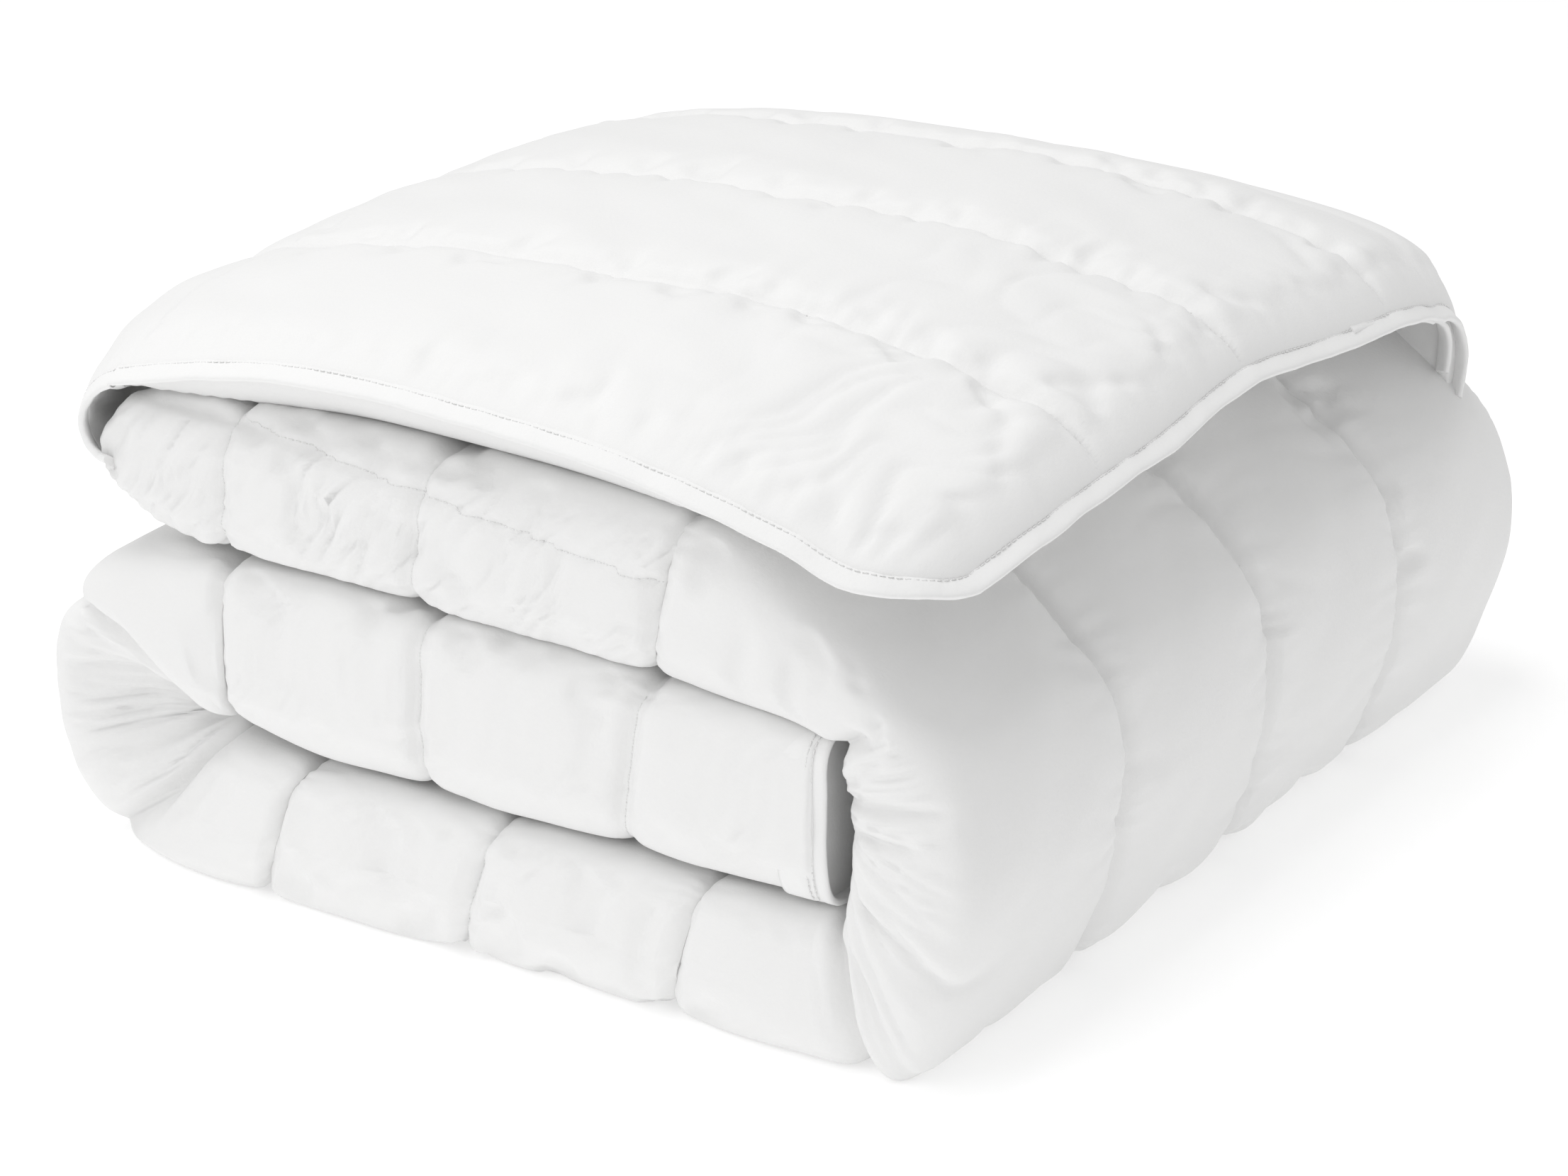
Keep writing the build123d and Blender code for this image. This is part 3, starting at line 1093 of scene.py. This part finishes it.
@dataclass
class Stage:
    """The floor, the light and the camera.

    Attributes:
        azimuth: The camera's turn to the right of the front, in degrees.
        elevation: Its height above the level, in degrees.
        distance: Its distance from the target.
        target: The point that it looks at.
        lens: Its focal length, in millimetres.
        sky: Strength of the white light from all round.
        glow: Strength of the floor's own light, which keeps it white in the soft shade.
    """

    azimuth: float = 32.67
    elevation: float = 21.98
    distance: float = 2.6704
    target: tuple[float, float, float] = (-0.01327, 0.0, 0.10364)
    lens: float = 105.8
    sky: float = 0.63
    glow: float = 0.30

    def build(self) -> None:
        """Make the floor, the lights and the camera."""
        self.floor()
        self.lights()
        self.camera()

    def floor(self) -> None:
        """Make a large pale floor."""
        made = bmesh.new()
        bmesh.ops.create_grid(made, x_segments=1, y_segments=1, size=12)
        floor = linked("Floor", made)
        floor.location.z = CAD_BOX[0].z - 0.0005
        material = bpy.data.materials.new("Pale floor")
        material.use_nodes = True
        shader = material.node_tree.nodes["Principled BSDF"]
        shader.inputs["Base Color"].default_value = (0.9, 0.9, 0.9, 1)
        shader.inputs["Emission Color"].default_value = (1, 1, 1, 1)
        shader.inputs["Emission Strength"].default_value = self.glow
        shader.inputs["Roughness"].default_value = 0.9
        shader.inputs["Specular IOR Level"].default_value = 0.1
        floor.data.materials.append(material)

    def lights(self) -> None:
        """Make a bright soft sky, a large lamp above the left front, and a weaker one in front."""
        world = bpy.data.worlds.new("Studio")
        world.use_nodes = True
        sky = world.node_tree.nodes["Background"]
        sky.inputs["Color"].default_value = (1, 1, 1, 1)
        sky.inputs["Strength"].default_value = self.sky
        bpy.context.scene.world = world
        for name, place, size, power in (
            ("Top", (-0.45, -0.45, 2.7), 1.5, 25),
            ("Key", (-0.4, -2.0, 1.9), 1.4, 9),
        ):
            lamp = bpy.data.lights.new(name, "AREA")
            lamp.size = size
            lamp.energy = power
            holder = bpy.data.objects.new(name, lamp)
            holder.location = place
            aim = Vector((0, 0, 0.15)) - Vector(place)
            holder.rotation_euler = aim.to_track_quat("-Z", "Y").to_euler()
            bpy.context.scene.collection.objects.link(holder)
        bpy.context.scene.view_settings.view_transform = "Standard"

    def camera(self) -> None:
        """Make the camera, level, in front of the stack and to its right."""
        turn, rise = math.radians(self.azimuth), math.radians(self.elevation)
        level = math.cos(rise)
        back = Vector((math.sin(turn) * level, -math.cos(turn) * level, math.sin(rise)))
        data = bpy.data.cameras.new("Camera")
        data.lens = self.lens
        data.sensor_width = 36
        data.clip_end = 60
        camera = bpy.data.objects.new("Camera", data)
        camera.location = Vector(self.target) + back * self.distance
        camera.rotation_euler = back.to_track_quat("Z", "Y").to_euler()
        bpy.context.scene.collection.objects.link(camera)
        bpy.context.scene.camera = camera


@dataclass
class FoldedStack:
    """The folded layers under the flap.

    Attributes:
        channels: Positions along Y of the seams on the right wrap and the left fold, ends included.
    """

    channels: tuple[float, ...] = (-0.33, -0.155, 0.008, 0.17, 0.33)

    def build(self) -> list[Piece]:
        """Make every stretch of the stack, from its upper left end round to the hem.

        Returns:
            The objects.
        """
        pieces = []
        for stretch in (
            self.upper_layer(),
            self.right_wrap(),
            self.bottom_layer(),
            self.left_fold(),
            self.inner_layer(),
        ):
            pieces += stretch.build()
        return pieces + HemCuff().build(self.inner_layer().section())

    @staticmethod
    def nodes(name: str) -> tuple[str, str, str]:
        """The CAD nodes of one stretch."""
        return (f"{name}_cover", f"{name}_fill", f"{name}_stitching")

    def upper_layer(self) -> QuiltStretch:
        """The layer under the flap.

        Returns:
            The stretch, not yet built.
        """
        return QuiltStretch(
            "upper_layer_quilt",
            self.nodes("upper_layer"),
            pairs=[
                (-0.240, 0.250, -0.238, 0.236), (-0.233, 0.268, -0.231, 0.222),
                (-0.216, 0.280, -0.218, 0.210), (-0.180, 0.284, -0.190, 0.200),
                (-0.080, 0.284, -0.090, 0.196), (0.030, 0.284, 0.010, 0.192),
                (0.133, 0.283, 0.112, 0.189),
            ],
            seams=(0.0, 0.27, 0.60, 1.0),
            bulge=0.044,
            backs=(0.287, 0.287),
            square=(0.70, 0.70, 0.70, 0.75),
            slant=0.0054,
            topstitch=(-0.150, 0.2790, 0.128, 0.2462),
            seed=3,
        )

    def right_wrap(self) -> QuiltStretch:
        """The upright end at the right.

        Returns:
            The stretch, not yet built.
        """
        return QuiltStretch(
            "right_wrap_quilt",
            self.nodes("right_wrap"),
            pairs=[
                (0.133, 0.283, 0.112, 0.189), (0.178, 0.262, 0.160, 0.187),
                (0.218, 0.232, 0.200, 0.184), (0.254, 0.206, 0.220, 0.177),
                (0.284, 0.176, 0.227, 0.160), (0.298, 0.140, 0.2295, 0.138),
                (0.300, 0.100, 0.2295, 0.118), (0.290, 0.055, 0.2290, 0.104),
                (0.274, 0.014, 0.2285, 0.095), (0.258, 0.001, 0.2278, 0.090),
                (0.239, 0.0, 0.2268, 0.0875), (0.195, 0.0, 0.200, 0.0868),
                (0.155, 0.0, 0.170, 0.0868), (0.119, 0.0, 0.145, 0.0868),
            ],
            channels=self.channels,
            flat_spacing=0.0036,
            creases=(
                Crease(10.0, 0.012, 0.007),
                Crease(3.1, 0.009, 0.009, (-1.2, 0.1)),
                Crease(4.4, 0.004, 0.006, (-0.9, 0.9), 0.004),
                Crease(5.0, 0.003, 0.005, (-0.8, 0.3), -0.004),
                Crease(6.7, 0.0035, 0.005, (-0.4, 1.0), 0.006),
                Crease(8.2, 0.003, 0.006, (-0.2, 1.1), 0.008),
            ),
            backs=(0.287, HALF_DEPTH),
            square=(0.70, 0.75, 0.36, 1.4),
            fan=(0.205, 0.150, 0.0022, -0.30, 1.20),
            seed=17,
        )

    def bottom_layer(self) -> QuiltStretch:
        """The layer that the stack lies on.

        Returns:
            The stretch, not yet built.
        """
        return QuiltStretch(
            "bottom_layer_quilt",
            self.nodes("bottom_layer"),
            pairs=[
                (0.119, 0.0, 0.145, 0.0868), (-0.014, 0.0, 0.015, 0.088),
                (-0.147, 0.0, -0.115, 0.088),
            ],
            seams=(0.0, 0.5, 1.0),
            slant=0.0026,
            seed=29,
        )

    def left_fold(self) -> QuiltStretch:
        """The fold at the left, where the bottom layer turns up into the inner layer.

        Returns:
            The stretch, not yet built.
        """
        return QuiltStretch(
            "left_fold_quilt",
            self.nodes("left_fold"),
            pairs=[
                (-0.147, 0.0, -0.115, 0.0880), (-0.195, 0.0, -0.145, 0.0885),
                (-0.240, 0.0, -0.166, 0.0895), (-0.268, 0.004, -0.174, 0.0910),
                (-0.286, 0.038, -0.176, 0.0925), (-0.2915, 0.080, -0.1765, 0.0940),
                (-0.2885, 0.122, -0.1760, 0.0960), (-0.278, 0.150, -0.1750, 0.0975),
                (-0.250, 0.177, -0.172, 0.0985), (-0.210, 0.191, -0.169, 0.0992),
                (-0.163, 0.1945, -0.166, 0.0995),
            ],
            channels=self.channels,
            flat_spacing=0.0036,
            creases=(
                Crease(3.0, 0.012, 0.010, (-1.2, 1.0)),
                Crease(7.0, 0.012, 0.010, (-1.2, 1.0)),
                Crease(4.4, 0.004, 0.010, (-0.6, 0.9)),
                Crease(5.8, 0.004, 0.008, (-0.6, 0.7)),
            ),
            recess=((5.0, 0.052, 0.062, 1.0, -0.4), (3.0, 0.016, 0.045, 2.4, 1.2)),
            square=(0.36, 1.4, 0.75, 0.36),
            fan=(-0.176, 0.095, 0.0042, 3.30, 0.72),
            seed=41,
        )

    def inner_layer(self) -> QuiltStretch:
        """The layer in the middle, which ends at a hem on the right.

        Returns:
            The stretch, not yet built.
        """
        return QuiltStretch(
            "inner_layer_quilt",
            self.nodes("inner_layer"),
            pairs=[
                (-0.163, 0.1945, -0.166, 0.0995), (-0.100, 0.1945, -0.100, 0.0915),
                (-0.030, 0.193, -0.034, 0.0895), (0.040, 0.191, 0.030, 0.0885),
                (0.110, 0.189, 0.094, 0.0885), (0.160, 0.187, 0.150, 0.0885),
                (0.2145, 0.1840, 0.2145, 0.0895),
            ],
            seams=(0.0, 0.355, 0.725, 1.2),
            square=(0.75, 0.36, 0.75, 0.36),
            slant=0.0026,
            seed=53,
        )


@dataclass
class Flap:
    """The free end of the duvet, laid back over the top, with its bound edge and its rolled fold.

    Attributes:
        left: Where the flap meets its fold.
        right: Its right edge.
        front: Its front edge.
        turn_start: Where it starts to turn down at the back.
        turn_radius: The radius of that turn.
        turn_angle: How far it turns.
        corner: Radius of its front right corner.
        floor: Its underside, where it lies on the upper layer.
        seams: Its seams, as positions along Y.
        columns: Points along X.
        rows: Points along Y.
        corner_columns: How many of the points along X are round the corner.
        tape_step: Distance between two points along a tape.
        label_low: The label's left and front edges.
        label_size: The label's width and depth.
    """

    left: float = -0.245
    right: float = 0.283
    front: float = -0.327
    turn_start: float = 0.255
    turn_radius: float = 0.048
    turn_angle: float = math.radians(125)
    corner: float = 0.044
    floor: float = 0.2865
    seams: tuple[float, ...] = (-0.165, 0.0, 0.165)
    columns: int = 192
    rows: int = 250
    corner_columns: int = 26
    tape_step: float = 0.004
    label_low: tuple[float, float] = (0.223, 0.105)
    label_size: tuple[float, float] = (0.040, 0.030)

    def end(self) -> float:
        """The length along Y, flat, at which the flap ends."""
        return self.turn_start + self.turn_radius * self.turn_angle

    def height(self, x: Array, y: Array) -> Array:
        """The height of the domed top before its pockets rise and sink.

        Args:
            x: Position along X.
            y: Position along Y.

        Returns:
            The height at each point: the ridge along X, less the falls to the front, the back and the
            right edge, with a small rise where the right edge rides over the wrap.
        """
        ridge = 0.3415 - 0.0045 * smooth(0.12, -0.12, x)
        ridge = ridge - 0.0240 * np.clip((-0.06 - x) / 0.18, 0, 2) ** 2
        ridge = ridge - 0.038 * np.clip((x - 0.03) / 0.25, 0, 2) ** 2.4
        front = 0.0137 + 0.019 * smooth(-0.1, 0.21, x) - 0.012 * smooth(0.225, 0.29, x)
        front = front * np.clip((-0.15 - y) / 0.184, 0, 2) ** 1.7
        back = (0.0095 - 0.002 * smooth(0.1, 0.28, x)) * np.clip((y + 0.03) / 0.195, 0, 2) ** 1.5
        back = back + (0.029 - 0.008 * smooth(0.05, 0.28, x)) * np.clip((y - 0.165) / 0.1, 0, 1.2) ** 1.6
        edge = 0.013 * (1 - puff(np.clip(self.right - x, 0, 1) / 0.04))
        edge = edge + 0.007 * smooth(0.20, 0.28, x) * (1 - smooth(0, 0.09, y - self.front))
        ride = 0.008 * smooth(0.18, 0.28, x) * np.exp(-((y / 0.085) ** 2))
        return ridge - front - back - edge + ride

    def shift(self, x: Array, t: Array) -> Array:
        """How far the flap's outline wanders along X.

        The fold draws in at the front, the right edge in the middle and towards the back.

        Args:
            x: Position along X.
            t: Length along Y, flat.

        Returns:
            The shift at each point.
        """
        at_front = 1 - smooth(0, 0.11, t - self.front)
        tucked = 0.020 * at_front * (1 - smooth(self.left, -0.05, x))
        waist = 0.006 * np.exp(-((t / 0.085) ** 2))
        drawn = smooth(0.1, 0.28, x) * (0.012 * at_front + waist + 0.014 * smooth(0.18, 0.27, t))
        return tucked - drawn

    def middle(self, x: Array, t: Array) -> tuple[Array, Array]:
        """The flap's middle surface.

        Args:
            x: Position along X.
            t: Length along Y, flat.

        Returns:
            The points and the unit normals.
        """
        angle = np.clip((t - self.turn_start) / self.turn_radius, 0, self.turn_angle)
        y = np.minimum(t, self.turn_start) + self.turn_radius * np.sin(angle)
        z = self.height(x, np.minimum(t, self.turn_start)) - self.turn_radius * (1 - np.cos(angle))
        points = np.stack([x + 0 * t + self.shift(x, t), y + 0 * x, z], -1)
        normals = np.stack([0 * z, np.sin(angle) + 0 * x, np.cos(angle) + 0 * x], -1)
        return points, normals

    def edge_gap(self, x: Array, t: Array) -> Array:
        """The distance in from the bound edge.

        Args:
            x: Position along X.
            t: Length along Y, flat.

        Returns:
            The distance at each point.
        """
        inner_x, inner_t = self.right - self.corner, self.front + self.corner
        away = np.hypot(np.maximum(x - inner_x, 0), np.maximum(inner_t - t, 0))
        in_corner = (x > inner_x) & (t < inner_t)
        straight = np.minimum(t - self.front, self.right - x)
        return np.maximum(np.where(in_corner, self.corner - away, straight), 0)

    @staticmethod
    def waved(x: Array, t: Array) -> Array:
        """The place across the seams, which wander a little."""
        broad = 0.0022 * gradient_noise(x / 0.11, t * 0 + 3.3, 5)
        return t + broad + 0.0007 * gradient_noise(x / 0.02, t * 0 + 1.3, 6)

    def back_turn(self, t: Array) -> Array:
        """How far each point is into the turn at the back, a share from 0 to 1."""
        return smooth(self.turn_start - 0.05, self.turn_start + 0.01, t)

    def closing(self, t: Array) -> Array:
        """How far apart the two faces are as the flap's back end closes, a share from 0 to 1."""
        return np.sqrt(np.clip((self.end() - t) / 0.008, 0, 1))

    def places_back(self) -> Array:
        """Shares of the way from the front to the back, set closer at both ends."""
        share = np.linspace(0, 1, self.rows)
        return share - 0.04 * np.sin(2 * math.pi * share) / (2 * math.pi)

    def relief(self, x: Array, t: Array) -> tuple[Array, Array]:
        """How the pockets, gathers and wrinkles raise the top, and the seam field.

        Args:
            x: Position along X. It may run on past the left end, as length round the fold.
            t: Length along Y, flat.

        Returns:
            The offset and the field.
        """
        edge = self.edge_gap(x, t)
        lines = (self.front - 0.002, *self.seams, self.end() + 0.05)
        gap, half = seam_distance(self.waved(x, t), lines)
        rise = 0.0120 * (1 - dip(gap, half)) * puff(edge / 0.045)
        crowded = 0.3 + 0.7 * smooth(-0.15, 0.12, x)
        gathers = QuiltStretch.gathers(x, t, gap, 0.0036, 71) * crowded * smooth(0.004, 0.016, edge)
        edge_run = np.where(self.right - x < edge + 1e-9, t, x)
        edge_gathers = QuiltStretch.gathers(edge_run, edge, edge, 0.0036, 83) * smooth(0.0, 0.012, edge)
        soft = 0.0014 * gradient_noise(x / 0.07, t / 0.045 + x / 0.1, 91)
        run = (x - 0.5 * t) / 0.03 + gradient_noise(x / 0.06, t / 0.06, 95)
        pulled = 0.0034 * pinch(gradient_noise(run, (t + 0.5 * x) / 0.10, 93))
        pulled = pulled * smooth(0.06, 0.2, x) * smooth(0.1, -0.15, t)
        offset = rise - 0.006 + gathers + edge_gathers * (0.5 + 0.5 * crowded)
        offset = offset + (soft + pulled) * smooth(0.0, 0.03, edge)
        return offset, np.maximum(np.exp(-gap / 0.014), 0.8 * np.exp(-edge / 0.014))

    def outline(self) -> tuple[Array, Array]:
        """The grid of places on the flap, laid flat, with the front right corner rounded.

        Returns:
            Positions along X, and lengths along Y.
        """
        straight = self.right - self.corner
        turn = np.linspace(0, math.pi / 2, self.corner_columns)
        level = np.linspace(self.left, straight, self.columns - self.corner_columns + 1)[:-1]
        x = np.concatenate([level, straight + self.corner * np.sin(turn)])
        start = np.full_like(x, self.front)
        start[-self.corner_columns :] = self.front + self.corner * (1 - np.cos(turn))
        t = start[:, None] + (self.end() - start[:, None]) * self.places_back()[None, :]
        return np.broadcast_to(x[:, None], t.shape).copy(), t

    def build(self) -> list[Piece]:
        """Make the flap, its fold, their bound edge and the label.

        Returns:
            The objects.
        """
        return self.pad() + self.fold() + self.bindings() + self.lower_binding() + self.label()

    def pad(self) -> list[Piece]:
        """Make the padded flap itself, and the thread of its seams.

        Returns:
            The two objects.
        """
        x, t = self.outline()
        middle, normals = self.middle(x, t)
        relief, seam_field = self.relief(x, t)
        edge = np.minimum(self.edge_gap(x, t), 2 * (self.end() - t))
        thickness = 0.005 + 0.05 * puff(edge / 0.12)
        room = np.maximum(middle[..., 2] - self.floor, 0.006)
        turned = self.back_turn(t)
        thickness = np.minimum(thickness, room * (1 - turned) + 0.012 * turned)
        thickness = np.maximum(thickness, 0.004)
        closing = self.closing(t)
        upper = middle + normals * ((relief + 0.004) * closing - 0.004)[..., None]
        under_gap, _ = seam_distance(self.waved(x, t), (self.front, *self.seams, self.end()))
        quilted = 0.004 * puff(under_gap / 0.05)
        thickness = np.maximum(thickness - (0.004 - quilted) * (1 - turned) * puff(edge / 0.03), 0.0035)
        lower = middle - normals * ((thickness + 0.002) * closing + 0.0058 * (1 - closing))[..., None]
        gap, _ = seam_distance(t, (self.front, *self.seams, self.end() + 0.05))
        hold = np.maximum(smooth(0.010, 0.004, gap), smooth(0.022, 0.010, edge))
        hold = np.maximum(hold, smooth(0.012, 0.004, x - self.left))
        hold[[0, -1]] = 1
        points = np.concatenate([upper, lower[:, ::-1]], axis=1)
        hold = np.concatenate([hold, np.ones_like(hold)], axis=1)
        points = points + Filling(slack=0.04, cap=0.0025).swell(points, hold)
        seam_field = np.concatenate([seam_field, seam_field[:, ::-1]], axis=1)
        lengths = (np.concatenate([x, x], 1), np.concatenate([t, -t[:, ::-1]], 1))
        piece = grid_object("flap_quilt", points, True, seam_field, lengths)
        piece.data.materials.append(COTTON.build())
        parts = ("flap_near_fold", "flap_end")
        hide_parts(*(f"{part}_{kind}" for part in parts for kind in ("cover", "fill")))
        rows = []
        for seam in self.seams:
            close = np.argmin(np.abs(self.waved(x, t) - seam), axis=1)
            row = points[np.arange(len(x)), close] + (0, 0, 0.0003)
            rows.append(row[row[:, 0] < self.right - 0.012])
        thread = Stitches("flap_thread", tuple(f"{part}_stitching" for part in parts)).build(rows)
        self.bend(thread)
        self.bend(piece)
        return [piece, thread]

    @staticmethod
    def bend(piece: Piece) -> None:
        """Bake the placing of a piece of the flap into its mesh."""
        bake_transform(piece)

    @staticmethod
    def roll(piece: Piece) -> None:
        """Bake the placing of a piece of the fold into its mesh."""
        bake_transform(piece)

    def fold_lines(self, t: Array) -> tuple[Array, Array, Array, Array]:
        """The outer and the inner line of the rolled fold, from its lip to the flap.

        Args:
            t: Length along Y, flat, at which the lines are wanted: one array.

        Returns:
            The outer points, their normals, the inner points, and the length left to the flap.
        """
        count = 46
        outer = spline(
            [
                (-0.254, 0.2335), (-0.266, 0.2355), (-0.279, 0.2440), (-0.2865, 0.2600),
                (-0.2840, 0.2780), (-0.2740, 0.2930), (-0.2600, 0.3035), (-0.2450, 0.3100),
            ],
            count,
        )
        inner = spline(
            [
                (-0.252, 0.2415), (-0.262, 0.2425), (-0.270, 0.2490), (-0.2745, 0.2600),
                (-0.2730, 0.2710), (-0.2670, 0.2790), (-0.2580, 0.2840), (-0.2450, 0.2865),
            ],
            count,
        )
        slope = np.gradient(outer, axis=0)
        side = np.stack([slope[:, 1], -slope[:, 0]], 1)
        side = -unit(side)
        side[-1] = (0, 1)
        left = walked(outer)[-1] * (1 - np.linspace(0, 1, count))
        flap, flap_normals = self.middle(np.full_like(t, self.left), t)
        rise = flap[:, 2] - 0.3100
        climb = smooth(0.15, 1.0, np.linspace(0, 1, count))
        points = np.zeros((count, len(t), 3))
        drawn = self.shift(np.full_like(t, self.left), t)[None, :]
        reach = 0.75 + 0.25 * smooth(0, 0.08, t - self.front)[None, :]
        points[..., 0] = self.left + (outer[:, :1] - self.left) * reach + drawn
        points[..., 1] = flap[None, :, 1]
        points[..., 2] = outer[:, 1:] + climb[:, None] * rise[None, :]
        turned = flap_normals[None, :, 1] * climb[:, None]
        normals = np.zeros_like(points)
        normals[..., 0] = side[:, :1] * (1 - turned)
        normals[..., 1] = turned
        normals[..., 2] = side[:, 1:] * (1 - turned) + turned * flap_normals[None, :, 2]
        normals = unit(normals)
        under = points.copy()
        under[..., 0] = self.left + (inner[:, :1] - self.left) * reach + drawn
        sink = np.minimum(points[..., 2] - outer[:, 1:], 0)
        under[..., 2] = inner[:, 1:] + sink
        return points, normals, under, left

    def fold(self) -> list[Piece]:
        """Make the padded fold that rolls from the upper layer up into the flap.

        Returns:
            The object, in a list.
        """
        t = self.front + (self.end() - self.front) * self.places_back()
        outer, normals, inner, left = self.fold_lines(t)
        run = np.broadcast_to(self.left - left[:, None], outer.shape[:2])
        across = np.broadcast_to(t[None, :], outer.shape[:2])
        relief, seam_field = self.relief(run, across)
        lip = 0.35 + 0.65 * smooth(0, 0.012, left.max() - left)[:, None]
        upper = outer + normals * ((relief * lip + 0.004) * self.closing(across) - 0.004)[..., None]
        edge = self.edge_gap(run, across)
        thin = (1 - puff(edge / 0.05))[..., None]
        thin_points = outer - normals * 0.009
        wrinkle = 0.003 * gradient_noise(run / 0.02 + across / 0.05, across / 0.03, 101)
        under = inner * (1 - thin) + thin_points * thin + normals * wrinkle[..., None]
        turned = self.back_turn(across)[..., None]
        under = under * (1 - turned) + (outer - normals * 0.014) * turned
        under[-1] = outer[-1] - normals[-1] * np.maximum(outer[-1, :, 2:] - under[-1, :, 2:], 0.006)
        points = np.concatenate([upper, under[:, ::-1]], axis=1)
        seam_field = np.concatenate([seam_field, seam_field[:, ::-1]], axis=1)
        lengths = (np.concatenate([run, run], 1), np.concatenate([across, -across[:, ::-1]], 1))
        piece = grid_object("flap_fold_quilt", points, True, seam_field, lengths)
        piece.data.materials.append(COTTON.build())
        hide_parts("flap_fold_cover", "flap_fold_fill")
        self.roll(piece)
        return [piece]

    def bindings(self) -> list[Piece]:
        """Make the tape on the front and the right edge, and the tape that turns round the fold.

        Returns:
            The two tapes and their stitches.
        """
        straight = self.right - self.corner
        turn = np.linspace(0, math.pi / 2, 30)[1:-1]
        front_x = np.arange(self.left, straight, self.tape_step)
        right_t = np.arange(self.front + self.corner, self.end(), self.tape_step)
        corner_x = straight + self.corner * np.sin(turn)
        corner_t = self.front + self.corner * (1 - np.cos(turn))
        x = np.concatenate([front_x, corner_x, np.full_like(right_t, self.right)])
        t = np.concatenate([np.full_like(front_x, self.front), corner_t, right_t])
        path, up = self.middle(x, t)
        out = unit(np.cross(np.gradient(path, axis=0), up))
        edge = Tape("flap_binding", ("flap_near_fold_binding", "flap_end_binding"), seed=5)
        pieces = self.tape(edge, path, out, up, self.bend)
        outer, normals, _, _ = self.fold_lines(np.array([self.front]))
        path, up = outer[:, 0], normals[:, 0]
        out = unit(np.cross(np.gradient(path, axis=0), up))
        rolled = Tape("flap_fold_binding_tape", ("flap_fold_binding",), seed=5)
        return pieces + self.tape(rolled, path, out, up, self.roll)

    def lower_binding(self) -> list[Piece]:
        """Make the tape of the lower sheet, seen where the flap turns down at the back.

        Returns:
            The tape and its stitches.
        """
        t = np.arange(0.12, self.end() - self.tape_step, self.tape_step)
        path, up = self.middle(np.full_like(t, self.right - 0.005), t)
        path = path - up * (0.0035 + 0.0075 * smooth(0.12, 0.20, t))[:, None]
        out = np.zeros_like(path)
        out[:, 0] = 1
        lower = Tape("flap_lower_binding", ("flap_end_lower_binding",), width=0.011, seed=25)
        return self.tape(lower, path, out, up, self.bend)

    @staticmethod
    def tape(
        tape: Tape,
        path: Array,
        out: Array,
        up: Array,
        follow: Callable[[Piece], None],
        tilt: float = math.radians(32),
    ) -> list[Piece]:
        """Sew a tape along an edge, tilted down a little, with its row of stitches.

        Args:
            tape: The tape.
            path: Points along the edge.
            out: Unit vectors out of the edge.
            up: Unit vectors up from the cloth.
            follow: What is done to each piece once it is made.
            tilt: How far the tape tilts down.

        Returns:
            The tape and its stitches.
        """
        wide = out * math.cos(tilt) - up * math.sin(tilt)
        thick = out * math.sin(tilt) + up * math.cos(tilt)
        path = path - up * 0.0068 + wide * 0.0025
        row = path - wide * 0.27 * tape.width + thick * (tape.thickness / 2 + 0.0001)
        pieces = [tape.build(path, wide, thick), Stitches(f"{tape.name}_thread").build([row])]
        for piece in pieces:
            follow(piece)
        return pieces

    def label(self) -> list[Piece]:
        """Make the blank care label, sewn under the flap near its right edge.

        Returns:
            The object, in a list.
        """
        (left, front), (width, depth) = self.label_low, self.label_size
        across, back = np.linspace(left, left + width, 21), np.linspace(front, front + depth, 16)
        x, y = np.meshgrid(across, back, indexing="ij")
        z = 0.2853 + 0.0003 * np.sin((x - left) / 0.0127)
        half = 0.0003
        top, under = np.stack([x, y, z + half], -1), np.stack([x, y, z - half], -1)
        points = np.concatenate([top, under[:, ::-1]], axis=1)
        lengths = (points[..., 0] - left, points[..., 1])
        no_seams = np.zeros(points.shape[:2])
        piece = grid_object("care_label_cloth", points, True, no_seams, lengths)
        piece.data.materials.append(LABEL.build())
        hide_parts("care_label")
        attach(piece, END_BODY)
        return [piece]


def main() -> None:
    logging.basicConfig(level=logging.INFO)
    for assembly in (FoldedStack(), Flap()):
        for piece in assembly.build():
            log.info("%s: %d points", piece.name, len(piece.data.vertices))
    Stage().build()


if __name__ == "__main__":
    main()
